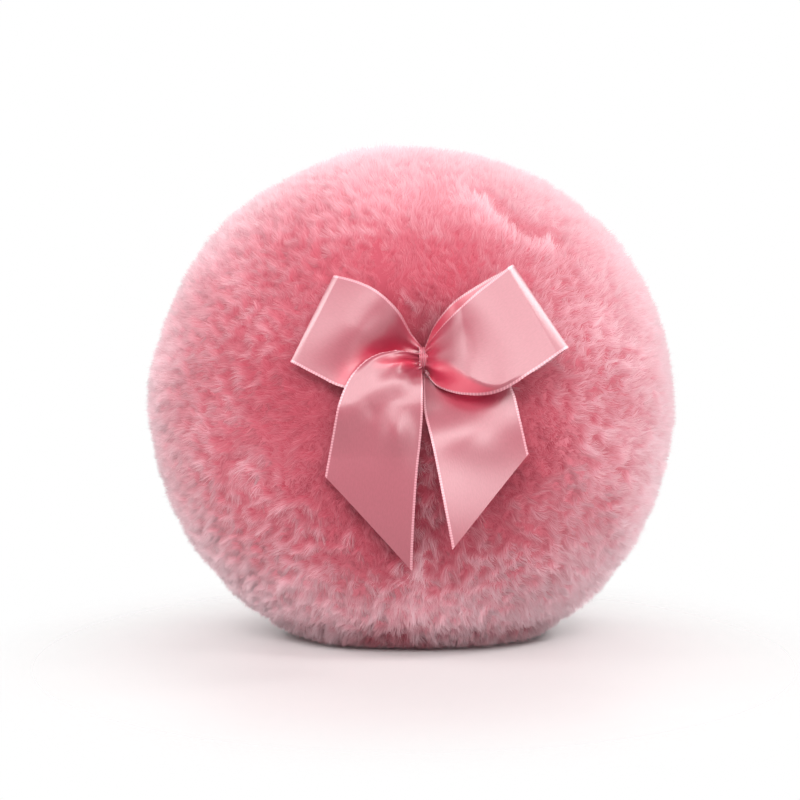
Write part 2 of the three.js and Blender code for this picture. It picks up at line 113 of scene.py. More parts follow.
def pile_place(directions, depth):
    depth = np.broadcast_to(depth, len(directions))[:, None]
    place = directions * (np.array((PILE_RADIUS, PILE_RADIUS, PILE_CROWN)) - depth)
    front = directions[:, 2] > 0
    away = np.hypot(place[:, 0], place[:, 1])
    pull = DIMPLE_DEPTH * (1 - depth[:, 0] / DIMPLE_FADE) * np.exp(-((away / DIMPLE_SPREAD) ** 2))
    place[:, 2] -= np.where(front, pull, 0)
    drag = np.where(front, np.exp(-((away / DIMPLE_DRAG) ** 2)), 0)
    place[:, :2] += drag[:, None] * KNOT[:2]
    return place


def pile_under(x, y):
    """Height of the pile's tips over the knot's own height, at a place measured from the knot."""
    across, up = x, y
    for _ in range(4):
        share = np.exp(-(across**2 + up**2) / DIMPLE_DRAG**2)
        across, up = x + KNOT[0] * (1 - share), y + KNOT[1] * (1 - share)
    away = np.hypot(across, up)
    dome = PILE_CROWN * np.sqrt(np.maximum(0, 1 - (away / PILE_RADIUS) ** 2))
    return dome - DIMPLE_DEPTH * np.exp(-((away / DIMPLE_SPREAD) ** 2)) - KNOT[2]


print(f"pile {2 * PILE_RADIUS:.1f} mm across, {2 * PILE_CROWN:.1f} mm thick")

# %% [markdown]
# Every material is built from nodes. One small function adds a node, sets its values and links it,
# and another turns a colour written as on the web into the linear numbers that a shader works with.

# %% Helpers for materials


def colour(text):
    parts = [int(text[i : i + 2], 16) / 255 for i in (1, 3, 5)]
    linear = [p / 12.92 if p <= 0.04045 else ((p + 0.055) / 1.055) ** 2.4 for p in parts]
    return (*linear, 1.0)


def add_node(tree, kind, inputs=None, **settings):
    made = tree.nodes.new(kind)
    for name, value in settings.items():
        setattr(made, name, value)
    for name, value in (inputs or {}).items():
        if isinstance(value, bpy.types.NodeSocket):
            tree.links.new(value, made.inputs[name])
        else:
            made.inputs[name].default_value = value
    return made


def new_material(name):
    material = bpy.data.materials.new(name)
    material.use_nodes = True
    tree = material.node_tree
    shader = tree.nodes["Principled BSDF"]
    return material, tree, shader


def set_stops(ramp, stops):
    elements = ramp.color_ramp.elements
    while len(elements) < len(stops):
        elements.new(1.0)
    for element, (place, shade) in zip(elements, stops):
        element.position = place
        element.color = colour(shade)


print("mid grey in linear light:", round(colour("#808080")[0], 3))

# %% [markdown]
# Polyester plush is a knitted ground with a dense cut pile. Light that enters it bounces from fibre
# to fibre, so the depths turn deep pink and the tips stay pale. An image could hold these colours, but
# two ramps need none: the pile carries a UV map of its own, with a tone for each place across it and the
# way from root to tip up it. Sheen adds the pale glow that fibre ends give a surface seen from the side.

# %% Plush pile material
plush, tree, shader = new_material("polyester_plush_pile")
strand_uv = add_node(tree, "ShaderNodeUVMap", uv_map="OFBake")
strand = add_node(tree, "ShaderNodeSeparateXYZ", {"Vector": strand_uv.outputs["UV"]})
deep = add_node(tree, "ShaderNodeValToRGB", {"Fac": strand.outputs["Y"]})
set_stops(deep, [(0.0, "#941f36"), (0.5, "#b04153"), (1.0, "#c0606f")])
pale = add_node(tree, "ShaderNodeValToRGB", {"Fac": strand.outputs["Y"]})
set_stops(pale, [(0.0, "#cb7f8d"), (0.5, "#e2abb5"), (1.0, "#f2d6dc")])
tone = add_node(
    tree,
    "ShaderNodeMix",
    {"Factor": strand.outputs["X"], "A": deep.outputs["Color"], "B": pale.outputs["Color"]},
    data_type="RGBA",
)
tree.links.new(tone.outputs["Result"], shader.inputs["Base Color"])
shader.inputs["Roughness"].default_value = 0.75
shader.inputs["Specular IOR Level"].default_value = 0.25
shader.inputs["Sheen Weight"].default_value = 0.9
shader.inputs["Sheen Roughness"].default_value = 0.5
shader.inputs["Sheen Tint"].default_value = colour("#ffe3e8")
print("plush material made")

# %% [markdown]
# Satin ribbon is woven so that long smooth threads, the floats, lie along its face and give a soft bright
# sheen. Most of what the eye sees on it is light from the lamps, so its own colour is deep. The ribbon's
# UV map is in millimetres, along and across, and keeps the weave's real size on every bend. A second map
# holds painted light and shade: it turns the satin crimson where light bouncing between the layers of a
# fold would glow, and where a flap shades the layer below it.

# %% Satin weave
FLOAT_WIDTH = 0.25  # mm, coarser than the real 0.1 so that it shows
FLOAT_LENGTH = 0.625  # mm
satin, tree, shader = new_material("polyester_satin_ribbon")
ribbon_uv = add_node(tree, "ShaderNodeUVMap", uv_map="ribbon")
stretch = add_node(
    tree,
    "ShaderNodeMapping",
    {"Vector": ribbon_uv.outputs["UV"], "Scale": (1 / FLOAT_LENGTH, 1 / FLOAT_WIDTH, 1)},
)
floats = add_node(
    tree, "ShaderNodeTexNoise", {"Vector": stretch.outputs["Vector"], "Scale": 1.0, "Detail": 3.0}
)
weave = add_node(tree, "ShaderNodeValToRGB", {"Fac": floats.outputs["Fac"]})
set_stops(weave, [(0.3, "#922a3e"), (0.7, "#9c3248")])
# painted light and shade: a crimson glow where light bounces in the folds, and shade under the flaps
glow_uv = add_node(tree, "ShaderNodeUVMap", uv_map="fold_depth")
depth = add_node(tree, "ShaderNodeSeparateXYZ", {"Vector": glow_uv.outputs["UV"]})
folded = add_node(
    tree,
    "ShaderNodeMix",
    {"Factor": depth.outputs["X"], "A": weave.outputs["Color"], "B": colour("#cf2c4d")},
    data_type="RGBA",
)
shader.inputs["Roughness"].default_value = 0.38
shader.inputs["IOR"].default_value = 1.8
shader.inputs["Specular IOR Level"].default_value = 0.8
bump = add_node(
    tree, "ShaderNodeBump", {"Height": floats.outputs["Fac"], "Strength": 0.35, "Distance": 0.05 * MM}
)
tree.links.new(bump.outputs["Normal"], shader.inputs["Normal"])
print("satin weave made, floats", FLOAT_WIDTH, "mm wide")

# %% [markdown]
# A narrow woven selvedge with a row of tiny loops, called picots, runs along both edges of the ribbon and
# shows as a paler dotted line. Each picot could be modelled, but that would take more faces than all of the
# bow. So the distance from the middle marks the selvedge, and a sine along the ribbon gives each picot.

# %% Selvedge and picots
RIBBON_WIDTH = 16.0
SELVEDGE = 0.45
SELVEDGE_EDGE = 0.7  # share of the selvedge at which it is fully pale
PICOT_PITCH = 0.45
way = add_node(tree, "ShaderNodeSeparateXYZ", {"Vector": ribbon_uv.outputs["UV"]})
from_middle = add_node(
    tree, "ShaderNodeMath", {0: way.outputs["Y"], 1: RIBBON_WIDTH / 2}, operation="SUBTRACT"
)
to_side = add_node(tree, "ShaderNodeMath", {0: from_middle.outputs["Value"]}, operation="ABSOLUTE")
on_edge = add_node(
    tree,
    "ShaderNodeMapRange",
    {
        "Value": to_side.outputs["Value"],
        "From Min": RIBBON_WIDTH / 2 - SELVEDGE,
        "From Max": RIBBON_WIDTH / 2 - SELVEDGE * SELVEDGE_EDGE,
    },
)
turns = add_node(
    tree, "ShaderNodeMath", {0: way.outputs["X"], 1: 2 * math.pi / PICOT_PITCH}, operation="MULTIPLY"
)
knots = add_node(tree, "ShaderNodeMath", {0: turns.outputs["Value"]}, operation="SINE")
picots = add_node(tree, "ShaderNodeValToRGB", {"Fac": knots.outputs["Value"]})
set_stops(picots, [(0.0, "#bf6f7d"), (0.7, "#d88f9b")])
cloth = add_node(
    tree,
    "ShaderNodeMix",
    {"Factor": on_edge.outputs["Result"], "A": folded.outputs["Result"], "B": picots.outputs["Color"]},
    data_type="RGBA",
)
tree.links.new(cloth.outputs["Result"], shader.inputs["Base Color"])
print("selvedge made, a picot every", PICOT_PITCH, "mm")

# %% [markdown]
# Cotton thread holds the seam, the bow's binding and its anchor, and its twisted plies show as a fine
# slant. Crimped white fibre fills the case, and its tangle shows as soft clouds. The CAD nodes of the seam,
# the anchor and the filling already have the right form, so they only need a finish.

# %% Thread and fibre materials
cotton, tree, shader = new_material("spun_cotton_thread")
place = add_node(tree, "ShaderNodeTexCoord")
PLY_PITCH = 0.5  # mm for each radian of the twist, so that a ply shows every 3 mm
WAVE_TURN = 20  # radians that a wave texture of scale 1 runs through in a metre
ply = add_node(
    tree,
    "ShaderNodeTexWave",
    {"Vector": place.outputs["Object"], "Scale": 1 / (PLY_PITCH * MM) / WAVE_TURN, "Distortion": 1.5},
    bands_direction="DIAGONAL",
)
shade = add_node(tree, "ShaderNodeValToRGB", {"Fac": ply.outputs["Fac"]})
set_stops(shade, [(0.0, "#b04f60"), (1.0, "#d37f8d")])
tree.links.new(shade.outputs["Color"], shader.inputs["Base Color"])
shader.inputs["Roughness"].default_value = 0.8

fibre, tree, shader = new_material("crimped_polyester_fibre")
place = add_node(tree, "ShaderNodeTexCoord")
CRIMP = 2.0  # mm from one bend of a fibre to the next
crimp = add_node(
    tree,
    "ShaderNodeTexNoise",
    {"Vector": place.outputs["Object"], "Scale": 1 / (CRIMP * MM), "Detail": 6.0},
)
shade = add_node(tree, "ShaderNodeValToRGB", {"Fac": crimp.outputs["Fac"]})
set_stops(shade, [(0.3, "#dcd5d2"), (0.7, "#f7f3f0")])
tree.links.new(shade.outputs["Color"], shader.inputs["Base Color"])
shader.inputs["Roughness"].default_value = 1.0

for name, finish in (("seam_thread", cotton), ("anchor_thread", cotton), ("fibre_filling", fibre)):
    node_mesh = frame["nodes"][name].data
    node_mesh.materials.clear()
    node_mesh.materials.append(finish)
print("thread and fibre materials made")

# %% [markdown]
# The bow's edges are written as rows of numbers from the knot outwards. Curve objects could hold them, but
# the sheets need places at any share of the way. So three small functions do the sums: a soft step, the
# greater of two heights with a rounded crossing, and a smooth curve through rows.

# %% Soft steps and smooth rows


def step(value, low, high):
    share = np.clip((np.asarray(value, float) - low) / (high - low), 0, 1)
    return share * share * (3 - 2 * share)


def higher(a, b, ease=1.0):
    """The greater of two heights, rounded where they cross."""
    return (a + b + np.sqrt((a - b) ** 2 + ease**2)) / 2


def along_rows(rows, shares):
    """Values on a smooth curve through evenly spaced rows, at shares from 0 to 1."""
    rows = np.asarray(rows, float)
    slopes = np.gradient(rows, axis=0)
    place = np.clip(shares, 0, 1) * (len(rows) - 1)
    low = np.minimum(place.astype(int), len(rows) - 2)
    part = (place - low)[:, None]
    rise = part * part * (3 - 2 * part)
    leave = part * (1 - part) ** 2
    arrive = part * part * (part - 1)
    return rows[low] * (1 - rise) + rows[low + 1] * rise + slopes[low] * leave + slopes[low + 1] * arrive


print("a quarter of the way up a soft step:", step(0.25, 0, 1).round(3))

# %% [markdown]
# Every new piece starts as a bmesh, which is Blender's mesh in the making. One helper turns it into an
# object of the scene with its material, so that each step below only has to shape it. The object stays at
# the origin, with its place in its mesh, because its pattern would slide if the object were moved.

# %% From a bmesh to a piece


def new_piece(name, shape, material, smooth=False):
    mesh = bpy.data.meshes.new(name)
    shape.to_mesh(mesh)
    shape.free()
    mesh.materials.append(material)
    if smooth:
        for polygon in mesh.polygons:
            polygon.use_smooth = True
    piece = bpy.data.objects.new(name, mesh)
    bpy.context.scene.collection.objects.link(piece)
    return piece


print("new pieces go into", bpy.context.scene.collection.name)

# %% [markdown]
# The ends of the ribbon are cut on a slant, and a sheet of cloth has to keep its flat length however it is
# folded. So the length is measured along several lines of the folded sheet, up to the line of the cut.

# %% Cut and flat length
MEASURE_STEPS = 600


def past(points, cut):
    """How far points lie past the line of a slant cut, seen from the front."""
    (ax, ay), (bx, by) = cut
    return (by - ay) * (points[:, 0] - ax) + (ax - bx) * (points[:, 1] - ay)


def cut_end(shape, cut):
    """Cuts off the end of a sheet by a plane through the line of the cut."""
    (ax, ay), (bx, by) = cut
    middle = from_face(KNOT + ((ax + bx) / 2, (ay + by) / 2, 0))
    beyond = (by - ay) * RIGHT + (ax - bx) * UP
    bmesh.ops.bisect_plane(
        shape,
        geom=[*shape.verts, *shape.edges, *shape.faces],
        plane_co=middle,
        plane_no=beyond,
        clear_outer=True,
    )


def flat_lengths(surface, cut):
    """Lengths of the flat ribbon along several lines, from the knot to the cut end."""
    fine = np.linspace(0, 1, MEASURE_STEPS)
    lengths = []
    for across in np.linspace(0.05, 0.95, 10):
        line = surface(fine, np.full(MEASURE_STEPS, across))
        parts = np.linalg.norm(np.diff(line, axis=0), axis=1)
        kept = past(line[1:], cut) < 0 if cut else np.full(MEASURE_STEPS - 1, True)
        lengths.append(parts[kept].sum())
    return lengths


print("a ribbon's length is measured in", MEASURE_STEPS, "steps")

# %% [markdown]
# The bow is one ribbon that is folded to two loops and two tails and pinched in the middle. Each loop and
# each tail is a sheet between two edges. A cloth simulation could drape it, but formulas put each fold
# where it belongs and give the same bow every time. A grid from bmesh gives rows along the ribbon and
# columns across it, closer together at the edges, and each vertex is moved to its place on the sheet.

# %% A sheet of ribbon
RIBBON_THICKNESS = 0.22
PICOT = 0.05  # mm that a picot stands out from the edge
COLUMNS = 56
ROW_LENGTH = 0.25
EDGE_SHARE = 0.02


def write_maps(shape, way, across, depth):
    """Writes the two UV maps: millimetres of ribbon, and the painted crimson light and shade of the folds."""
    uv = shape.loops.layers.uv.new("ribbon")
    glow_uv = shape.loops.layers.uv.new("fold_depth")
    shape.verts.index_update()
    for face in shape.faces:
        for loop in face.loops:
            i = loop.vert.index
            loop[uv].uv = (way[i], across[i] * RIBBON_WIDTH)
            loop[glow_uv].uv = (depth[i], across[i])


def ribbon_piece(name, surface, fold_depth, cut=None):
    """A ribbon over surface(share along, share across), in millimetres from the knot."""
    fine = np.linspace(0, 1, MEASURE_STEPS)
    line = surface(fine, np.full(MEASURE_STEPS, 0.5))
    lengths = np.r_[0, np.cumsum(np.linalg.norm(np.diff(line, axis=0), axis=1))]
    rows = int(lengths[-1] / ROW_LENGTH)
    even = np.interp(np.linspace(0, lengths[-1], rows + 1), lengths, fine)
    shape = bmesh.new()
    made = bmesh.ops.create_grid(shape, x_segments=rows, y_segments=COLUMNS, size=0.5)
    vertices = made["verts"]
    row = np.array([round((v.co.x + 0.5) * rows) for v in vertices])
    column = np.array([round((v.co.y + 0.5) * COLUMNS) for v in vertices])
    across = 0.5 - 0.5 * np.cos(np.pi * column / COLUMNS)
    places = surface(even[row], across)
    inwards = surface(even[row], np.clip(across, EDGE_SHARE, 1 - EDGE_SHARE)) - places
    edge = (column == 0) | (column == COLUMNS)
    scallop = PICOT * np.sin(2 * np.pi * row * ROW_LENGTH / PICOT_PITCH)
    places[edge] -= unit(inwards[edge]) * scallop[edge, None]
    for vertex, place in zip(vertices, from_face(places + KNOT)):
        vertex.co = place
    # painted crimson light and shade of the folds, for the second UV map
    depth = np.clip(fold_depth(even[row], across, places[:, 0], places[:, 1]), 0, 1)
    write_maps(shape, row * ROW_LENGTH, across, depth)
    if cut is not None:
        cut_end(shape, cut)
    piece = new_piece(name, shape, satin)
    wall = piece.modifiers.new("ribbon thickness", "SOLIDIFY")
    wall.thickness = RIBBON_THICKNESS * MM
    wall.offset = 0.0
    flat = flat_lengths(surface, cut)
    return piece


# %% [markdown]
# A ribbon has no hinge: it bends where it leaves the pinch. If a sheet rode on one body alone, it would tear
# off the knot when a loop or a tail is lifted. Here the hinge and the side of it on which the sheet lies are
# found but not used, and the sheet's place is baked into its mesh.

# %% Find the hinge and bake the place


def bend_at(piece, joint_name, towards):
    """Finds the side of the hinge on which the piece lies, and bakes the piece's place into its mesh."""
    joint = joints[joint_name]
    hinge = np.array(joint["pos_m"])
    away = unit(np.cross(OUT, joint["axis"]))
    away = away * np.sign(away @ (from_face(KNOT + np.array(towards)) - hinge))
    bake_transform(piece)


print("ribbons bend at", [name for name in joints if name.endswith("_lift")])

# %% [markdown]
# Folds in the ribbon follow lines, so a helper tells how far each point lies from a bent line, seen from
# the front, and a soft hump turns that distance into a ridge or a valley.

# %% Lines for folds


def from_line(x, y, points):
    """Distance from a bent line, with a sign that tells its left side from its right."""
    nearest = np.full(np.shape(x), np.inf)
    signed = np.zeros(np.shape(x))
    for (ax, ay), (bx, by) in zip(points[:-1], points[1:]):
        length = math.hypot(bx - ax, by - ay)
        along = np.clip(((x - ax) * (bx - ax) + (y - ay) * (by - ay)) / length**2, 0, 1)
        away = np.hypot(x - ax - along * (bx - ax), y - ay - along * (by - ay))
        side = (bx - ax) * (y - ay) - (by - ay) * (x - ax)
        signed = np.where(away < nearest, np.copysign(away, side), signed)
        nearest = np.minimum(nearest, away)
    return signed


def hump(value, middle, width):
    return np.exp(-(((value - middle) / width) ** 2))


print("2 mm beside a line:", from_line(np.array((2.0,)), np.array((0.0,)), [(0, -5), (0, 5)]))

# %% [markdown]
# A loop runs out along the pile, folds over and comes home in front. Seen from the front it has four
# edges: low and high ones for the back layer and for the front layer. Rows of numbers give them from the
# knot to the fold in millimetres, and two heights say how far the layers stand off the pile and apart.

# %% How a loop runs
FOLD_ROWS = 0.16
FOLD_RADIUS = 0.6
CREASED = 0.65  # share of a sharp crease in the fold, the rest is round
BACK_END = 0.45
# share of painted crimson bounce light on the whole back layer of a loop
BACK_LAYER_GLOW = 0.8


def loop_surface(back_edges, front_edges, back_height, front_gap, fold_share):
    """The edges hold rows of (low x, low y, high x, high y) from the knot to the fold."""

    def surface(along, across):
        layer = np.clip((2 * along - 1) / FOLD_ROWS, -1, 1)
        run = np.clip((1 - np.abs(2 * along - 1)) / (1 - FOLD_ROWS), 0, 1)
        fold_out = CREASED * (1 - np.abs(layer)) + (1 - CREASED) * np.cos(np.pi / 2 * layer)
        share = run * (1 - fold_share) + fold_share * fold_out
        front = (1 + CREASED * layer + (1 - CREASED) * np.sin(np.pi / 2 * layer)) / 2
        back_row = along_rows(back_edges, share)
        front_row = along_rows(front_edges, share)
        row = back_row + (front_row - back_row) * front[:, None]
        x = row[:, 0] + (row[:, 2] - row[:, 0]) * across
        y = row[:, 1] + (row[:, 3] - row[:, 1]) * across
        height = back_height(x, y, share, across) + front * front_gap(x, y, share, across)
        return np.column_stack((x, y, height))

    return surface


def tent(share, peak):
    """Rises from 0 at the knot to 1 at the peak and falls almost straight to 0 at the fold."""
    rise = np.sin(np.pi / 2 * np.clip(share / peak, 0, 1))
    fall = np.clip((share - peak) / (1 - peak), 0, 1) ** 1.4
    return rise - fall


def pleats(share, across, count, size, fade):
    return size * np.exp(-((share / fade) ** 2)) * np.cos(2 * np.pi * count * across + 0.6)


print("a loop's fold takes", FOLD_ROWS, "of its rows")

# %% [markdown]
# The left loop lies flat on the pile, and the shoulder of the left tail presses a pocket into its lower
# half, where painted crimson stands for the shade and bounce light in it. Its rows are written out one by
# one, because no plain curve follows a hand-tied bow.

# %% The left loop
left_front = [
    (-0.35, -1.6, -0.35, 2.3),
    (-4.0, -3.4, -2.2, 4.2),
    (-8.0, -5.2, -4.3, 7.1),
    (-13.0, -5.4, -7.4, 10.1),
    (-17.6, -3.2, -10.6, 12.0),
    (-21.7, -0.8, -14.7, 13.6),
]
left_back = [
    (-0.35, -1.2, -0.35, 2.4),
    (-4.0, -2.8, -2.0, 4.7),
    (-8.0, -4.4, -4.0, 7.7),
    (-13.0, -4.6, -7.2, 10.6),
    (-17.6, -2.6, -10.6, 12.4),
    (-21.7, -0.8, -14.7, 13.6),
]


def left_back_height(x, y, share, across):
    rest = pile_under(x, y) + 0.6
    return -0.6 + (rest + 0.6) * step(share, 0, 0.45) + pleats(share, across, 2.5, 0.3, 0.3)


SHOULDER_LINE = [(-1.0, 0.9), (-4.6, 1.1), (-8.7, -0.2), (-11.6, -3.2), (-13.2, -6.3)]


def left_gap(x, y, share, across):
    swell = 2.5 * tent(share, 0.45) * step(across, 0.05, 0.6)
    sunk = hump(from_line(x, y, SHOULDER_LINE), 0.0, 2.6)
    gap = 2 * FOLD_RADIUS * (0.8 + 0.2 * share) + swell * (1 - 0.85 * sunk)
    return gap + pleats(share, across, 3.2, 0.35, 0.3)


def left_loop_painted_glow(along, across, x, y):
    # painted crimson bounce light and shade in the pocket under the left tail's shoulder
    pocket = hump(from_line(x, y, SHOULDER_LINE), 0.0, 1.9) * step(np.hypot(x, y), 1.0, 4.0)
    return np.where(along < BACK_END, BACK_LAYER_GLOW, pocket)


left_loop = ribbon_piece(
    "ribbon_left_loop",
    loop_surface(left_back, left_front, left_back_height, left_gap, fold_share=0.04),
    left_loop_painted_glow,
)
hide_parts("bow_left_loop")
bend_at(left_loop, "left_loop_lift", (-20, 7, 0))

# %% [markdown]
# The right loop lies over the top of the right tail. Its lower edge rolls under beside the knot into a flap,
# which is painted a darker crimson as shade, and its back layer stands a little higher and shows its inside
# along the top, painted crimson as bounce light.

# %% The right loop
RIGHT_FOLD_RADIUS = 1.0
right_front = [
    (0.35, -2.3, 0.35, 2.0),
    (2.4, -4.9, 2.6, 4.5),
    (6.6, -6.7, 5.7, 7.1),
    (12.2, -6.4, 8.6, 9.8),
    (18.0, -2.9, 11.6, 12.4),
    (23.5, 1.2, 14.6, 15.0),
]
right_back = [
    (0.35, -1.8, 0.35, 2.5),
    (2.6, -4.0, 1.8, 5.6),
    (7.0, -5.6, 4.7, 8.7),
    (12.4, -5.4, 8.2, 11.2),
    (18.0, -2.6, 11.4, 13.2),
    (23.5, 1.2, 14.6, 15.0),
]


def right_shoulder_height(x, y):
    """Height of the right tail's top, which the right loop lies on."""
    away = np.hypot(x, y)
    return higher(0.1 + 2.6 * step(away, 0.8, 9), pile_under(x, y) + 0.2, 2.0)


def right_back_height(x, y, share, across):
    rest = right_shoulder_height(x, y) + 0.7
    return -0.4 + (rest + 0.4) * step(share, 0, 0.45) + pleats(share, across, 2.5, 0.3, 0.25)


def right_crease(share):
    return 0.05 + 0.33 * (1 - step(share, 0.22, 0.62))


def right_gap(x, y, share, across):
    roll = 1 - (1 - np.clip(across / right_crease(share), 0, 1)) ** 1.3
    roll += (1 - roll) * step(share, 0.5, 0.8)
    swell = 2.3 * tent(share, 0.34) * roll * (1 - 0.3 * across)
    return 2 * RIGHT_FOLD_RADIUS * (0.8 + 0.2 * share) + swell + pleats(share, across, 3.4, 0.4, 0.25)


def right_loop_painted_glow(along, across, x, y):
    share = (1 - np.abs(2 * along - 1)) / (1 - FOLD_ROWS)
    # painted crimson shade on the rolled flap, a painted glow beside the knot, and the back layer's painted
    # bounce light
    rolled = 1 - step(across / right_crease(share), 0.8, 1.35)
    flap = rolled * step(share, 0.0, 0.2) * (1 - step(share, 0.5, 0.7))
    by_knot = 0.5 * hump(share, 0.1, 0.12) * (1 - rolled)
    return np.where(along < BACK_END, BACK_LAYER_GLOW, 0.95 * flap + by_knot)


right_loop = ribbon_piece(
    "ribbon_right_loop",
    loop_surface(right_back, right_front, right_back_height, right_gap, fold_share=0.065),
    right_loop_painted_glow,
)
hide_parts("bow_right_loop")
bend_at(right_loop, "right_loop_lift", (20, 7, 0))

# %% [markdown]
# Each tail leaves the knot sideways, turns down over a soft shoulder and lies on the pile. Its rows hold
# the outer and the inner edge. The sheet is made too long, and a plane then cuts its end at a slant, as
# scissors do.

# %% How a tail runs


def tail_surface(rows, shoulder, lift, turn, shape):
    """shape(share along, share across, x, y) adds the folds to the height."""

    def surface(along, across):
        row = along_rows(rows, along)
        x = row[:, 0] + (row[:, 2] - row[:, 0]) * across
        y = row[:, 1] + (row[:, 3] - row[:, 1]) * across
        rest = pile_under(x, y) + lift
        height = shoulder(x, y) + (rest - shoulder(x, y)) * step(-y, *turn)
        return np.column_stack((x, y, height + shape(along, across, x, y)))

    return surface


print("the pile 14 mm from the knot stands", pile_under(np.array((10.0,)), np.array((-10.0,))).round(1))

# %% [markdown]
# The left tail passes over the left loop. A deep valley runs from the knot under its upper edge and is
# painted crimson as shade, a ridge beside it catches the light, and lower down a bulge and curled edges keep
# it from looking flat. Each fold is a hump along a line and is added to the height.

# %% The left tail
left_rows = [
    (-0.4, 0.9, -0.3, -2.2),
    (-4.6, 0.7, -0.3, -3.2),
    (-8.8, -0.6, -0.2, -4.8),
    (-11.8, -3.7, -0.2, -7.0),
    (-13.6, -7.8, -0.2, -9.9),
    (-14.6, -12.3, -0.5, -14.0),
    (-15.6, -17.4, -1.0, -18.8),
    (-16.6, -23.0, -1.4, -24.4),
    (-17.5, -29.0, -1.7, -30.2),
    (-18.4, -35.4, -1.9, -36.6),
]
LEFT_CUT = ((-16.2, -19.3), (-1.9, -34.4))
LEFT_RIDGE = [(-1.7, -3.0), (-4.6, -5.0), (-7.9, -6.9), (-10.5, -8.2), (-13.1, -9.4)]
LEFT_VALLEY = [(-1.7, -1.2), (-4.6, -1.5), (-7.9, -1.9), (-11.0, -3.2)]
LEFT_HOLLOW = [(-1.5, -5.2), (-4.6, -7.0), (-8.0, -9.2)]


def left_shoulder(x, y):
    return 0.8 + 5.0 * (1 - np.exp(-(x**2 + y**2) / 3.2**2))


def left_folds(along, across, x, y):
    away = np.hypot(x, y)
    fan = 0.3 * np.exp(-((away / 4.0) ** 2)) * np.cos(2 * np.pi * 4.2 * across) * step(away, 0.3, 1.5)
    ridge = 0.7 * hump(from_line(x, y, LEFT_RIDGE), 0, 3.0) * step(away, 1.5, 6.0)
    below = from_line(x, y, LEFT_VALLEY)
    valley = -0.8 * hump(below, 0, np.where(below > 0, 2.8, 0.9)) * step(away, 0.8, 2.5)
    valley = valley * (1 - step(-x, 5.5, 9.0))
    hollow = -0.4 * hump(from_line(x, y, LEFT_HOLLOW), 0, 1.8)
    bulge = 1.1 * hump(x, -4.6, 2.4) * hump(y, -13.0, 3.4)
    curl = 0.8 * step(-y, 14, 30) * (2 * across - 1) ** 2
    rolled_edge = -0.5 * np.exp(-((across / 0.06) ** 2)) * step(away, 1.0, 4.0) * (1 - step(-y, 1.0, 4.0))
    return fan + ridge + valley + hollow + bulge + curl + rolled_edge


def left_tail_painted_shade(along, across, x, y):
    # painted crimson shade in the valley under the upper edge
    valley = 0.95 * hump(from_line(x, y, LEFT_VALLEY), -0.4, 0.8) * step(np.hypot(x, y), 0.8, 2.5)
    return valley * (1 - step(-x, 6.0, 9.0))


left_tail = ribbon_piece(
    "ribbon_left_tail",
    tail_surface(left_rows, left_shoulder, 0.9, (8, 17), left_folds),
    left_tail_painted_shade,
    cut=LEFT_CUT,
)
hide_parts("bow_left_tail")
bend_at(left_tail, "left_tail_lift", (-8, -20, 0))

# %% [markdown]
# The right tail comes out from under the right loop, whose flap tucks it in; the flap's crimson shadow on
# its top is painted. Below that it bows out to the light, and its lower half stands off the pile a little. It
# is made as the left tail is, with rows and folds of its own.

# %% The right tail
right_rows = [
    (0.2, -2.2, 0.4, 0.2),
    (0.0, -3.2, 4.4, 0.2),
    (0.0, -4.6, 8.6, -0.8),
    (0.0, -6.8, 12.2, -2.6),
    (0.2, -9.8, 14.4, -5.6),
    (1.1, -14.0, 15.6, -10.2),
    (2.1, -19.0, 16.8, -15.4),
    (3.2, -24.9, 18.1, -21.0),
    (4.2, -30.0, 19.3, -26.5),
    (5.2, -35.0, 20.5, -32.0),
]
RIGHT_CUT = ((4.6, -31.8), (16.8, -16.1))
FLAP_EDGE = [(0.5, -4.0), (4.2, -6.4), (7.9, -7.1), (12.0, -6.5)]


def right_folds(along, across, x, y):
    away = np.hypot(x, y)
    near = np.exp(-((away / 5.0) ** 2))
    fan = 0.3 * near * np.cos(2 * np.pi * (3.0 * across + 0.4)) * step(away, 0.5, 2.5)
    bow_out = 1.5 * hump(x, 9.0, 7.0) * hump(y, -13.2, 4.6)
    tucked = -0.6 * hump(from_line(x, y, FLAP_EDGE), 0, 1.8) * hump(x, 7.0, 6.0)
    curl = 0.8 * step(-y, 12, 28) * (2 * across - 1) ** 2
    stand_off = 0.3 * higher(-y - 12, 0.0, 5.0) - 0.12 * (x - 8.0) * step(-y, 6, 14)
    return fan + bow_out + tucked + curl + stand_off


def right_tail_painted_shade(along, across, x, y):
    # painted crimson shadow of the flap's edge on the tail
    return hump(from_line(x, y, FLAP_EDGE), 0, 1.7) * hump(x, 7.0, 4.0)


right_tail = ribbon_piece(
    "ribbon_right_tail",
    tail_surface(right_rows, right_shoulder_height, 0.9, (6, 15), right_folds),
    right_tail_painted_shade,
    cut=RIGHT_CUT,
)
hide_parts("bow_right_tail")
bend_at(right_tail, "right_tail_lift", (8, -20, 0))

# %% [markdown]
# The middle of the ribbon is bunched into a small pleated bundle that the binding thread holds. A short
# cylinder is drawn in at its waist and fluted, so that the layers seem to run on into the loops and the
# tails. Real pleats would be many thin layers, of which only the rounded outside shows.

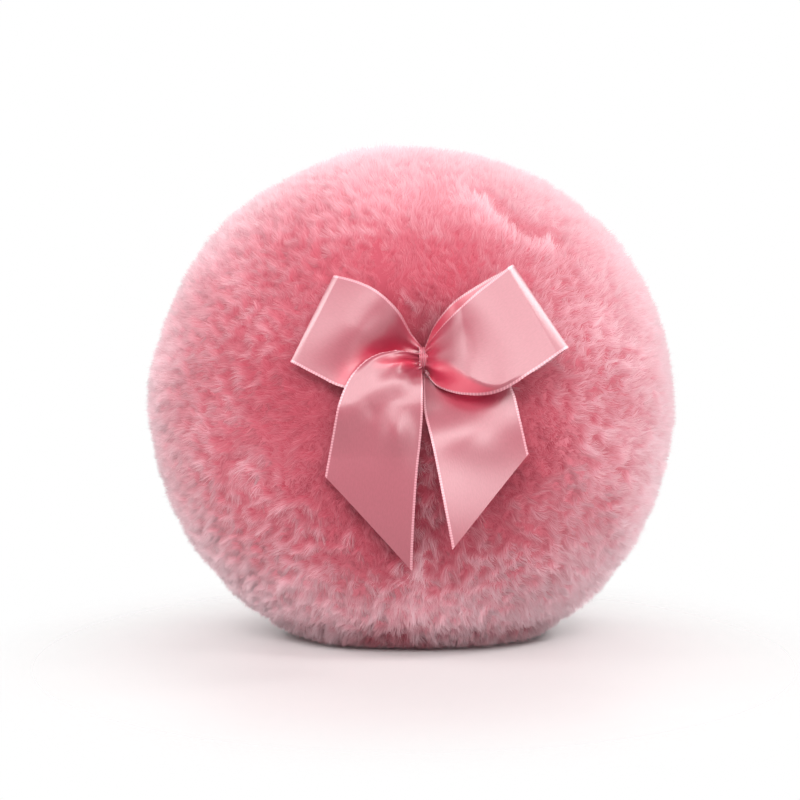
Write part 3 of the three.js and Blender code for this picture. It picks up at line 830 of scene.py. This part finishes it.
# %% The pinched middle
GATHER_LENGTH = 1.4
GATHER_HEIGHT = 4.8
GATHER_DEPTH = 3.2
GATHER_PLEATS = 9
WAIST = 0.86
shape = bmesh.new()
bmesh.ops.create_cone(shape, cap_ends=True, segments=72, radius1=1.0, radius2=1.0, depth=GATHER_LENGTH)
sides = [e for e in shape.edges if abs(e.verts[0].co.z - e.verts[1].co.z) > 0.1]
bmesh.ops.subdivide_edges(shape, edges=sides, cuts=9, use_grid_fill=True)
for vertex in shape.verts:
    angle = math.atan2(vertex.co.y, vertex.co.x)
    open_share = min(1.0, (abs(vertex.co.z) / (GATHER_LENGTH / 2)) ** 2)
    flute = 1 + (0.05 + 0.1 * open_share) * math.cos(GATHER_PLEATS * angle)
    size = (WAIST + (1 - WAIST) * open_share) * flute
    up = GATHER_HEIGHT / 2 * size * math.cos(angle)
    out = GATHER_DEPTH / 2 * size * math.sin(angle)
    vertex.co = from_face(KNOT + np.array((vertex.co.z, up, out)))
bmesh.ops.recalc_face_normals(shape, faces=shape.faces)
gather = new_piece("ribbon_gather", shape, satin, smooth=True)
gather.data.uv_layers.new(name="ribbon")
gather.data.uv_layers.new(name="fold_depth")
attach(gather, "bow_knot")
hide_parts("bow_gather")
print("gather:", len(gather.data.polygons), "faces")

# %% [markdown]
# A few tight turns of fine thread hold the pinch. A long coil could be swept along a curve, but the turns lie
# so close that rings look the same. A small circle is spun round the pinch into a ring for each turn, and
# the rings are then flattened to the bundle's own outline.

# %% The binding thread
THREAD_RADIUS = 0.14
TURN_PITCH = 0.34
THREAD_SEAT = 0.9  # share of the bundle's size at which the thread lies
shape = bmesh.new()
for turn in (-1, 0, 1):
    middle = Vector((turn * TURN_PITCH * MM, 1.0, 0))
    made = bmesh.ops.create_circle(shape, segments=10, radius=THREAD_RADIUS * MM)
    bmesh.ops.translate(shape, verts=made["verts"], vec=middle)
    edges = list(dict.fromkeys(edge for vertex in made["verts"] for edge in vertex.link_edges))
    bmesh.ops.spin(
        shape,
        geom=[*made["verts"], *edges],
        cent=(0, 0, 0),
        axis=(1, 0, 0),
        angle=2 * math.pi,
        steps=64,
        use_merge=True,
    )
for vertex in shape.verts:
    up, out = vertex.co.y, vertex.co.z
    reach = math.hypot(up, out)
    proud = (reach - 1.0) / MM
    size = np.array((GATHER_HEIGHT / 2 * THREAD_SEAT, GATHER_DEPTH / 2 * THREAD_SEAT)) + proud
    place = np.array((vertex.co.x / MM, size[0] * up / reach, size[1] * out / reach))
    vertex.co = from_face(KNOT + place)
bmesh.ops.recalc_face_normals(shape, faces=shape.faces)
thread = new_piece("binding_thread", shape, cotton, smooth=True)
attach(thread, "bow_knot")
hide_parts("bow_binding_thread")
print("binding thread:", len(thread.data.polygons), "faces")

# %% [markdown]
# Handled plush is uneven in a smooth way: locks, swirls and low lumps run into each other without borders.
# Blender's own noise gives such changes. Its noise in three directions starts from the clock unless it is
# given a seed, so a seed is set, and the puff comes out the same each time.

# %% Smooth noise
NOISE_SEED = 7
noise.seed_set(NOISE_SEED)


def noise_shift(seed):
    """Moves the noise, so that each use of it sees another part."""
    return Vector((seed * 17.3, seed * 5.1, seed * 9.7))


def wander(places, size, seed):
    """Smooth noise with features of a size in millimetres."""
    shift = noise_shift(seed)
    return np.array([noise.noise_vector(Vector(p) / size + shift) for p in places])


print("noise at the knot:", wander([KNOT], 5.0, 1).round(2))

# %% [markdown]
# Under the tips the pile is so dense that no single fibre shows. That dense part is one domed shell for
# each panel: a sphere is cut at the seam, moved to a depth below the tips, given a wall, and flattened
# where the puff stands. It is soft and full. It casts no shadow, because light passes through so fine a
# pile. Its tone holds painted light and shade: paler at the rim and on raised lumps, deeper in low lumps
# and in the parting above the knot.

# %% The dense pile
STRAND_DEPTH = 1.2
GROUND_WALL = 7.0
FLOOR_GAP = 0.3
LUMP_SIZE = 15.0
LUMP_HEIGHT = 0.6
RIM_LIGHT_PAINT = 0.7
RIM_WIDTH = 0.45
GROUND_TONE = 0.15
GROUND_LEVEL = 0.35
TONES = (0.02, 0.97)
SEAM_LAP = 0.004
PARTING = [(-6.4, 21.8), (-6.2, 16.0), (-5.4, 12.1), (-3.1, 6.6), (-1.2, 3.3)]  # above the knot, in mm
axes = np.array((PILE_RADIUS, PILE_RADIUS, PILE_CROWN))


def ground_piece(name, side):
    shape = bmesh.new()
    bmesh.ops.create_icosphere(shape, subdivisions=6, radius=1.0)
    bmesh.ops.bisect_plane(
        shape,
        geom=[*shape.verts, *shape.edges, *shape.faces],
        plane_co=(0, 0, side * SEAM_LAP),
        plane_no=(0, 0, -side),
        clear_outer=True,
    )
    directions = unit(np.array([v.co for v in shape.verts]))
    lumps = wander(directions * axes, LUMP_SIZE, 4)
    places = from_face(pile_place(directions, STRAND_DEPTH - LUMP_HEIGHT * lumps[:, 0]))
    places[:, 2] = np.maximum(places[:, 2], FLOOR_GAP * MM)
    for vertex, place in zip(shape.verts, places):
        vertex.co = place
    piece = new_piece(name, shape, plush, smooth=True)
    mesh = piece.data
    on_face = directions * axes
    # painted light and shade: paler at the rim and on raised lumps, deeper in low lumps and in the parting
    painted_parting_shade = hump(from_line(on_face[:, 0], on_face[:, 1], PARTING), 0, 1.8) * (side > 0)
    tone = GROUND_TONE + 0.25 * lumps[:, 0] + RIM_LIGHT_PAINT * hump(directions[:, 2], 0, RIM_WIDTH) - 0.6 * painted_parting_shade
    tone = np.clip(tone, *TONES)
    corners = np.array([loop.vertex_index for loop in mesh.loops])
    uv = np.column_stack((tone[corners], np.full(len(corners), GROUND_LEVEL)))
    mesh.uv_layers.new(name="OFBake").data.foreach_set("uv", uv.astype(np.float32).ravel())
    wall = piece.modifiers.new("ground wall", "SOLIDIFY")
    wall.thickness = GROUND_WALL * MM
    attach(piece, "puff")
    piece.visible_shadow = False
    print(name, len(mesh.polygons), "faces")
    return piece


front_ground = ground_piece("front_plush_ground", 1)
rear_ground = ground_piece("rear_plush_ground", -1)
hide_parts("front_plush_panel")
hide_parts("rear_plush_panel")

# %% [markdown]
# Where the puff stands, its weight presses the pile to a firm pad. It lies hidden inside the dense pile and
# keeps light from under the puff, so that a soft dark line joins the puff to the floor. It is the lowest
# slice of the same flattened ball, cut off level by a plane and closed by a face.

# %% The pressed foot
PAD_HEIGHT = 10.0
PAD_DEPTH = 2.4
shape = bmesh.new()
bmesh.ops.create_icosphere(shape, subdivisions=5, radius=1.0)
pad_places = from_face(pile_place(unit(np.array([v.co for v in shape.verts])), PAD_DEPTH))
for vertex, place in zip(shape.verts, pad_places):
    vertex.co = place
cut = bmesh.ops.bisect_plane(
    shape,
    geom=[*shape.verts, *shape.edges, *shape.faces],
    plane_co=(0, 0, PAD_HEIGHT * MM),
    plane_no=(0, 0, 1),
    clear_outer=True,
)
rim = [item for item in cut["geom_cut"] if isinstance(item, bmesh.types.BMEdge)]
bmesh.ops.contextual_create(shape, geom=rim)
for vertex in shape.verts:
    vertex.co.z = max(vertex.co.z, 2 * FLOOR_GAP * MM)
bmesh.ops.recalc_face_normals(shape, faces=shape.faces)
pad = new_piece("pressed_foot", shape, plush)
pad.data.uv_layers.new(name="OFBake")
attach(pad, "puff")
print("pressed foot:", len(pad.data.polygons), "faces")

# %% [markdown]
# The soft outline and the fine grain of plush come from the free ends of its fibres, so they are
# modelled one by one. A slim three-sided cone is one strand. Its four vertices are then repeated for
# every strand with array sums, because an operator for each of so many strands would take hours.

# %% One strand
STRAND_RADIUS = 0.085
shape = bmesh.new()
bmesh.ops.create_cone(shape, cap_ends=True, segments=3, radius1=1.0, radius2=0.0, depth=1.0)
bmesh.ops.remove_doubles(shape, verts=shape.verts, dist=1e-5)
bmesh.ops.translate(shape, verts=shape.verts, vec=(0, 0, 0.5))
shape.verts.index_update()
strand_vertices = np.array([v.co for v in shape.verts])
strand_faces = np.array([[v.index for v in f.verts] for f in shape.faces])
shape.free()
strand_level = (strand_vertices[:, 2] > 0.5).astype(int)
print("one strand:", len(strand_vertices), "vertices,", len(strand_faces), "triangles")

# %% [markdown]
# Strands stand evenly over the whole case. They are combed outwards from the middle of each panel,
# swirl as handled plush does, and gather a little into small tufts. Smooth noise gives all of
# this, because plush shows no sharp borders between one lock and the next. The finest curls run level along
# the slopes of the noise, so that strands turn round each other and leave no bare spots.

# %% Comb the pile
STRANDS = 420_000
TUFT_SIZE = 2.4
COMB = 0.35
SWIRL = 1.0
SWIRL_SIZE = 9.0
CURL = 0.9
CURL_SIZE = 1.7
LOCK_SIZE = 5.0
SLOPE_STEP = 0.1
rng = np.random.default_rng(20)


def even_directions(count):
    """Directions whose places spread evenly over the flattened ball."""
    tries = unit(rng.normal(size=(3 * count, 3)))
    stretch = np.linalg.norm(tries / axes, axis=1) * axes.min()
    return tries[rng.random(len(tries)) < stretch][:count]


directions = even_directions(STRANDS)
surface_places = directions * axes
aside = unit(np.cross(directions, (0.31, 0.52, 0.79)))
forward = np.cross(directions, aside)


def slopes(places, size, seed):
    """Heights of smooth noise, and its slopes along the surface as vectors."""
    nudge = SLOPE_STEP * size
    shift = noise_shift(seed)
    middle, beside, before = (
        np.array([noise.noise(Vector(p) / size + shift) for p in points])
        for points in (places, places + nudge * aside, places + nudge * forward)
    )
    slope_aside = (beside - middle)[:, None] / SLOPE_STEP
    slope_forward = (before - middle)[:, None] / SLOPE_STEP
    downhill = -slope_aside * aside - slope_forward * forward
    level = slope_forward * aside - slope_aside * forward
    return middle, downhill, level


swirl = wander(surface_places, SWIRL_SIZE, 1)
curl_height, curl_slope, curl = slopes(surface_places, CURL_SIZE, 2)
locks = wander(surface_places, LOCK_SIZE, 3)
lumps = wander(surface_places, LUMP_SIZE, 4)
radial = np.column_stack((directions[:, :2], np.zeros(len(directions))))
comb = COMB * radial / np.maximum(0.25, np.linalg.norm(radial, axis=1, keepdims=True))
comb += SWIRL * swirl + CURL * curl
print(len(directions), "strands")

# %% [markdown]
# Handling leaves marks in the pile. Above the knot the pile parts, at the upper right one lock lies over
# the next, and low on the left there is a small swirl. Each mark bends the comb and changes the length of
# the strands round it, with distances in millimetres on the face, and painted shade and light change their
# tone: shade in the parting, in the pocket under the lap and round the swirl, most on its upper half, and
# light on the lap's lip and in the swirl's middle. Painted light makes a patch on the right side paler, and
# painted shade deepens the pile above the bow and beside the right tail. Strands could be combed by hand
# in a sculpting tool, but numbers can be read and changed.

# %% Marks of handling
x, y = surface_places[:, 0], surface_places[:, 1]
on_front = directions[:, 2] > 0
shorter = np.zeros(len(directions))
# painted shade of the marks; below zero it is painted light
painted_shade = np.zeros(len(directions))

PARTING_WIDTH = 1.2
side = from_line(x, y, PARTING)
near = on_front * hump(side, 0, PARTING_WIDTH)
comb[:, 0] += 0.9 * np.sign(side) * near
shorter += 1.2 * near
# painted shade in the parting
painted_shade += 1.3 * near

LAP = [(11.7, 30.6), (14.2, 27.9), (16.7, 25.2), (19.9, 24.1), (23.1, 23.6)]
LAP_WIDTH = 1.5
side = from_line(x, y, LAP)
lip = on_front * hump(side, -0.8, LAP_WIDTH)
pocket = on_front * hump(side, 1.8, LAP_WIDTH)
comb[:, 1] += lip
# painted shade in the lap's pocket, painted light on its lip
shorter += 0.8 * pocket - 0.4 * lip
painted_shade += 0.35 * pocket - 0.35 * lip

DENT = (-27.0, -14.0)
DENT_SIZE = 4.6
DENT_SWIRL = 1.6
reach = np.hypot(x - DENT[0], y - DENT[1]) / DENT_SIZE
ring = on_front * hump(reach, 1.0, 0.3)
comb[:, 0] += -DENT_SWIRL * ring * (y - DENT[1]) / DENT_SIZE
comb[:, 1] += DENT_SWIRL * ring * (x - DENT[0]) / DENT_SIZE
shorter += 0.7 * ring
# painted shade round the swirl, most on its upper half, and painted light in its middle
painted_shade += 0.5 * ring * (0.6 + 0.4 * np.sign(y - DENT[1])) - 0.15 * on_front * hump(reach, 0, 0.6)

LIT_RIGHT_SIDE = (31.0, 8.0)
SHADE_ABOVE_BOW = (2.0, 17.0)
SHADOW_BESIDE_TAIL = (24.5, -9.7)
# painted light on the right side, painted shadow beside the right tail, painted shade above the bow
painted_shade -= 0.25 * on_front * hump(x, LIT_RIGHT_SIDE[0], 6.0) * hump(y, LIT_RIGHT_SIDE[1], 9.0)
painted_shade += 0.3 * on_front * hump(x, SHADOW_BESIDE_TAIL[0], 5.0) * hump(y, SHADOW_BESIDE_TAIL[1], 6.0)
painted_shade += 0.3 * on_front * hump(x, SHADE_ABOVE_BOW[0], 16.0) * hump(y, SHADE_ABOVE_BOW[1], 8.0)
print("marks reach", int((shorter != 0).sum()), "strands")

# %% [markdown]
# Fibres cling together at their tips. Points spread over the case stand for the tufts, and each tip is
# drawn a little towards the nearest one. A tree of points finds it far quicker than a search of all would.

# %% Gather the tips into tufts
CASE_AREA = 20000  # square millimetres, about the whole case
PULL = 0.2
tip_places = unit((surface_places + comb) / axes) * axes
tuft_count = int(CASE_AREA / TUFT_SIZE**2)
tuft_places = even_directions(tuft_count) * axes
tree = KDTree(tuft_count)
for i, place in enumerate(tuft_places):
    tree.insert(place, i)
tree.balance()
found = [tree.find(place) for place in tip_places]
tuft = np.array([f[1] for f in found])
from_tuft = np.array([f[2] for f in found]) / TUFT_SIZE
pull = (PULL * rng.random(tuft_count))[tuft] * rng.uniform(0.4, 1.0, len(tip_places))
tip_places += (tuft_places[tuft] - tip_places) * pull[:, None]
tip_directions = unit(tip_places / axes)
print(tuft_count, "tufts")

# %% [markdown]
# Strands differ in length: most stop a little short, a few stray out, and the noise raises whole locks. A
# depth below the outline of the pile says where each strand ends, and its root lies in the dense pile.

# %% Lengths of the strands
STRAY_SHARE = 0.015
SHORTEST = 0.8
ROOTED = 0.4
rise = LUMP_HEIGHT * lumps[:, 0] + 0.4 * locks[:, 0] + 0.4 * curl_height
shortness = -0.6 + 0.3 * from_tuft**2 + rng.exponential(0.3, len(directions)) - rise + shorter
strays = rng.random(len(directions)) < STRAY_SHARE
shortness[strays] -= rng.uniform(0.2, 0.8, strays.sum())
root_depth = STRAND_DEPTH + ROOTED - LUMP_HEIGHT * lumps[:, 0]
roots = pile_place(directions, root_depth)
tips = pile_place(tip_directions, np.minimum(shortness, root_depth - SHORTEST))
print(int(strays.sum()), "strands stray out")

# %% [markdown]
# The bow presses the pile down, also where it swings when it is turned. Rays go outwards from the middle of
# the puff to each ribbon, with the bow at rest and turned, and tips that would pass a ribbon end below it.

# %% Press the pile under the bow
RIBBON_GAP = 0.3
GAP_SPREAD = 0.5
BOW_REACH = (32, 40)
BOW_LEVEL = 8


def under_ribbons(places, turns=(0.0,)):
    """Presses places below the ribbons that lie over them, also when the bow is turned."""
    lowest = np.full(len(places), np.inf)
    by_bow = (np.abs(places[:, 0]) < BOW_REACH[0]) & (np.abs(places[:, 1]) < BOW_REACH[1])
    near = np.flatnonzero(by_bow & (places[:, 2] > BOW_LEVEL))
    for turn in turns:
        from_knot = places[near, :2] - KNOT[:2]
        across = from_knot[:, 0] * math.cos(turn) + from_knot[:, 1] * math.sin(turn)
        up = from_knot[:, 1] * math.cos(turn) - from_knot[:, 0] * math.sin(turn)
        starts = from_face(np.column_stack((across + KNOT[0], up + KNOT[1], np.zeros(len(near)))))
        for ribbon in ribbon_trees:
            for i, start in zip(near, starts):
                hit = ribbon.ray_cast(Vector(start), Vector(OUT))
                if hit[3] is not None:
                    lowest[i] = min(lowest[i], hit[3] / MM)
    limit = lowest - RIBBON_GAP - rng.uniform(0, GAP_SPREAD, len(places))
    places[:, 2] = np.minimum(places[:, 2], limit)
    return places


depsgraph = bpy.context.evaluated_depsgraph_get()
ribbons = (left_loop, right_loop, left_tail, right_tail)
ribbon_trees = [BVHTree.FromObject(piece, depsgraph) for piece in ribbons]
swivel = [math.radians(angle) for angle in joints["bow_swivel"]["range_deg"]]
tips = under_ribbons(tips, (0.0, swivel[0], swivel[0] / 2, swivel[1] / 2, swivel[1]))
roots = under_ribbons(roots)
print("pile pressed for a bow that turns", np.degrees(swivel).round(), "degrees")

# %% [markdown]
# On the floor the pile lies flat. A strand that would go through the floor ends just above it instead, and
# is moved outwards by as much as it was pressed, so that the pile spreads round the foot.

# %% Press the pile on the floor
LOWEST_TIP = 0.25
TIP_SPREAD = 0.6
SPREAD = 1.2


def above_floor(places):
    below = np.maximum(0, LOWEST_TIP * MM - places[:, 2])
    away = places[:, :2] / np.maximum(1e-6, np.linalg.norm(places[:, :2], axis=1, keepdims=True))
    places[:, :2] += away * (SPREAD * below)[:, None]
    flat = (LOWEST_TIP + rng.uniform(0, TIP_SPREAD, len(places))) * MM
    places[:, 2] = np.where(below > 0, flat, places[:, 2])
    return places


spines = np.stack([above_floor(from_face(places)) for places in (roots, tips)])
print("strands laid, lowest", spines[..., 2].min().round(5))

# %% [markdown]
# Light and shade are painted into the tone of each strand. Painted shade deepens low locks, lumps and
# curls, the pile close round the bow, most of all below it, and the pile at the foot. Painted light makes
# raised locks, lumps and curls, the rim, the right side and the pile just above the floor paler, so the fine
# curls make the tone flicker. A little random tone is added, and a UV map will give each strand its tone and
# its way from root to tip.

# %% Tone of the strands
BOW_SHADE = 8.0  # mm round the ribbons
SHADE_REACH = 42
# painted shadow of the bow on the pile, strongest below it and weaker between the tails
bow_shadow_paint = np.zeros(len(directions))
for i in np.flatnonzero(on_front & (np.hypot(x, y) < SHADE_REACH)):
    away = min(ribbon.find_nearest(Vector(spines[1, i]))[3] for ribbon in ribbon_trees) / MM
    bow_shadow_paint[i] = math.exp(-((away / BOW_SHADE) ** 2)) * (0.1 + 0.9 * step(-y[i], -6, 4))
bow_shadow_paint *= 1 - 1.3 * hump(x, 0.8, 3.0) * step(-y, 8, 14)
# painted rim light
painted_rim_glow = hump(directions[:, 2], 0, RIM_WIDTH)
height = spines[1, :, 2] / MM
# painted bounce light from the floor, and painted shade at the foot
floor_bounce_paint = hump(height, 8, 7)
pressed = 1 - step(height + 5.0 * locks[:, 1], 0.5, 4.0)
# painted light and shade: raised locks, lumps and curls paler, low ones deeper, and the right side paler
curl_shading_paint = np.clip(0.6 - 0.02 * y + lumps[:, 1], 0.15, 1.0)  # curls show more low on the puff
tones = 0.25 + 0.15 * locks[:, 0] + 0.2 * lumps[:, 0] + 0.6 * curl_shading_paint * curl_height + RIM_LIGHT_PAINT * painted_rim_glow
tones += 0.15 * directions[:, 0] + 0.3 * floor_bounce_paint - painted_shade - 0.5 * bow_shadow_paint - 0.8 * pressed
tones = np.clip(tones + rng.normal(0, 0.08, len(directions)), *TONES)
thickness = STRAND_RADIUS * MM * rng.uniform(0.7, 1.2, len(directions))
print(f"tones from {tones.min():.2f} to {tones.max():.2f}, mean {tones.mean():.2f}")

# %% [markdown]
# A fibre is so fine and clear that it takes its brightness from the pile round it. So each strand is shaded
# with the way that its lock faces, and not with its own round side, which would give a coarse glitter. Two
# small steps along the surface of the pile give the way that it faces, and noise tilts it a little.

# %% Which way the strands face
NUDGE = 0.01
here = pile_place(directions, 0.0)
beside = pile_place(unit(directions + NUDGE * aside), 0.0) - here
before = pile_place(unit(directions + NUDGE * forward), 0.0) - here
facing = unit(np.cross(beside, before))
facing *= np.sign((facing * directions).sum(axis=1, keepdims=True))
strand_lean = unit(tips - roots)
facing = facing + 0.15 * locks + 0.15 * lumps + 0.2 * curl_slope + 0.15 * strand_lean
facing = unit(facing + rng.normal(0, 0.1, facing.shape)) @ FACE
print("strands face the front with", round(float(-facing[:, 1].mean()), 3), "in the mean")

# %% [markdown]
# The strands are written into a few meshes, each small enough to be kept whole. Blender's hair could grow
# them too, but only a mesh goes into the exported model. Strands cast no shadow, since light passes through
# real fibres, apart from those at the foot, which darken the line where the puff meets the floor.

# %% Grow the pile


def pile_piece(name, chosen, shadow=False):
    count = len(chosen)
    spine = spines[:, chosen]
    lean = unit(spine[1] - spine[0])
    side = unit(np.cross(lean, rng.normal(size=(count, 3))))
    other = np.cross(lean, side)
    size = thickness[chosen][:, None, None]
    offset = strand_vertices[None, :, 0, None] * side[:, None]
    offset = offset + strand_vertices[None, :, 1, None] * other[:, None]
    vertices = spine[strand_level].transpose(1, 0, 2) + size * offset
    faces = strand_faces[None] + (np.arange(count) * len(strand_vertices))[:, None, None]
    corners = faces.reshape(-1)
    mesh = bpy.data.meshes.new(name)
    mesh.vertices.add(vertices.shape[0] * vertices.shape[1])
    mesh.vertices.foreach_set("co", vertices.astype(np.float32).ravel())
    mesh.loops.add(len(corners))
    mesh.loops.foreach_set("vertex_index", corners.astype(np.int32))
    mesh.polygons.add(len(corners) // 3)
    mesh.polygons.foreach_set("loop_start", np.arange(0, len(corners), 3, dtype=np.int32))
    mesh.update(calc_edges=True)
    angle = np.arctan2(strand_vertices[:, 1], strand_vertices[:, 0]) / (2 * np.pi)
    across = tones[chosen][:, None] + 0.01 * angle[None]
    up = np.broadcast_to(0.01 + 0.98 * strand_level, across.shape)
    uv = np.stack((across.ravel()[corners], up.ravel()[corners]), axis=1)
    mesh.uv_layers.new(name="OFBake").data.foreach_set("uv", uv.astype(np.float32).ravel())
    mesh.normals_split_custom_set_from_vertices(np.repeat(facing[chosen], len(strand_vertices), axis=0))
    mesh.materials.append(plush)
    piece = bpy.data.objects.new(name, mesh)
    bpy.context.scene.collection.objects.link(piece)
    piece.visible_shadow = shadow
    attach(piece, "puff")
    print(name, len(mesh.polygons), "triangles")


PANEL_PIECES = 5
FOOT_HEIGHT = 4.0
foot = spines[..., 2].min(axis=0) < FOOT_HEIGHT * MM
pile_piece("foot_pile", np.flatnonzero(foot), shadow=True)
turn = np.arctan2(directions[:, 1], directions[:, 0])
for panel, on_panel in (("front", directions[:, 2] >= 0), ("rear", directions[:, 2] < 0)):
    members = np.flatnonzero(on_panel & ~foot)
    members = members[np.argsort(turn[members])]
    for number, chosen in enumerate(np.array_split(members, PANEL_PIECES), 1):
        pile_piece(f"{panel}_pile_{number}", chosen)

# %% [markdown]
# A plain pale sheet of paper is the floor. It keeps the puff's soft shadow, and further out it turns clear
# to the camera, so that it fades into the white behind it without an edge.

# %% The floor
FLOOR_RADIUS = 0.7
CONTACT = (0.0, -0.02, 0.0)
FADE = (0.035, 0.08)  # metres from the contact
paper, tree, shader = new_material("white_paper_floor")
shader.inputs["Base Color"].default_value = colour("#cfcbcb")
shader.inputs["Roughness"].default_value = 0.45
shader.inputs["Specular IOR Level"].default_value = 0.3
place = add_node(tree, "ShaderNodeTexCoord")
away = add_node(tree, "ShaderNodeVectorMath", {0: place.outputs["Object"], 1: CONTACT}, operation="DISTANCE")
fade = add_node(
    tree,
    "ShaderNodeMapRange",
    {"Value": away.outputs["Value"], "From Min": FADE[0], "From Max": FADE[1]},
    interpolation_type="SMOOTHSTEP",
)
clear = add_node(tree, "ShaderNodeBsdfTransparent")
path = add_node(tree, "ShaderNodeLightPath")
share = add_node(
    tree,
    "ShaderNodeMath",
    {0: fade.outputs["Result"], 1: path.outputs["Is Camera Ray"]},
    operation="MULTIPLY",
)
mixed = add_node(
    tree,
    "ShaderNodeMixShader",
    {0: share.outputs["Value"], 1: shader.outputs["BSDF"], 2: clear.outputs["BSDF"]},
)
tree.links.new(mixed.outputs["Shader"], tree.nodes["Material Output"].inputs["Surface"])
shape = bmesh.new()
bmesh.ops.create_circle(shape, cap_ends=True, segments=96, radius=FLOOR_RADIUS)
floor = new_piece("studio_floor", shape, paper)
print("floor fades out", FADE[1] / MM, "mm from the puff")

# %% [markdown]
# The background is the world. It is white to the camera and in reflections, and gives only a weak light to
# everything else, so that a white background doesn't wash out the puff.

# %% White background
AMBIENT = 0.15
world = bpy.data.worlds.new("white_studio")
bpy.context.scene.world = world
world.use_nodes = True
tree = world.node_tree
path = add_node(tree, "ShaderNodeLightPath")
seen = add_node(
    tree,
    "ShaderNodeMath",
    {0: path.outputs["Is Camera Ray"], 1: path.outputs["Is Glossy Ray"]},
    operation="MAXIMUM",
)
seen_all = add_node(
    tree,
    "ShaderNodeMath",
    {0: seen.outputs["Value"], 1: path.outputs["Is Transmission Ray"]},
    operation="MAXIMUM",
)
strength = add_node(
    tree,
    "ShaderNodeMapRange",
    {"Value": seen_all.outputs["Value"], "To Min": AMBIENT, "To Max": 1.0},
)
tree.links.new(strength.outputs["Result"], tree.nodes["Background"].inputs["Strength"])
tree.nodes["Background"].inputs["Color"].default_value = (1, 1, 1, 1)
bpy.context.scene.view_settings.view_transform = "Standard"
print("background ready, ambient light", AMBIENT)

# %% [markdown]
# Eight round soft lights stand for the studio. The key light is in front and above, two softboxes and two
# lower fill lights stand at its sides, and three lights behind the puff give its rim a glow. One large
# lamp would be simpler, but satin shows lamps as bright patches, so each has its place and size.

# %% Lights
LIGHTS = {  # place in metres, width in metres, watts
    "key_light": ((-0.06, -0.43, 0.48), 0.42, 1.75),
    "fill_light": ((0.31, -0.49, 0.195), 0.3, 0.85),
    "right_softbox": ((0.3, -0.37, 0.44), 0.46, 1.3),
    "left_softbox": ((-0.46, -0.29, 0.345), 0.5, 1.35),
    "left_fill_light": ((-0.52, -0.3, 0.08), 0.4, 0.65),
    "back_light": ((0.0, 0.3, 0.5), 0.4, 0.8),
    "right_side_light": ((0.48, 0.08, 0.46), 0.3, 2.2),
    "left_side_light": ((-0.52, 0.13, 0.38), 0.3, 1.5),
}
for name, (place, size, watts) in LIGHTS.items():
    lamp = bpy.data.lights.new(name, "AREA")
    lamp.shape = "DISK"
    lamp.size = size
    lamp.energy = watts
    light = bpy.data.objects.new(name, lamp)
    bpy.context.scene.collection.objects.link(light)
    light.location = place
    light.rotation_euler = (Vector(MIDDLE) - light.location).to_track_quat("-Z", "Y").to_euler()
print(len(LIGHTS), "lights,", round(sum(watts for *_, watts in LIGHTS.values()), 2), "watts in all")

# %% [markdown]
# The camera looks at the puff from the front, a little from above. A long lens from some way off keeps the
# round outline true, as in product pictures, and the aim is set in pixels to place the puff in the frame.

# %% Camera
CAMERA_DISTANCE = 0.48
CAMERA_HEIGHT = math.radians(7)
LENS = 125.0
SENSOR = 36.0
IMAGE_WIDTH = 800
PIXEL = CAMERA_DISTANCE * SENSOR / LENS / IMAGE_WIDTH
AIM_SHIFT = (-13, 2.5)
lens = bpy.data.cameras.new("camera")
lens.lens = LENS
lens.sensor_width = SENSOR
camera = bpy.data.objects.new("camera", lens)
bpy.context.scene.collection.objects.link(camera)
back = Vector((0, -math.cos(CAMERA_HEIGHT), math.sin(CAMERA_HEIGHT)))
aim = Vector(MIDDLE) + Vector((AIM_SHIFT[0] * PIXEL, 0, AIM_SHIFT[1] * PIXEL))
camera.location = aim + back * CAMERA_DISTANCE
camera.rotation_euler = (-back).to_track_quat("-Z", "Y").to_euler()
bpy.context.scene.camera = camera
print(f"one pixel shows {PIXEL / MM:.3f} mm")
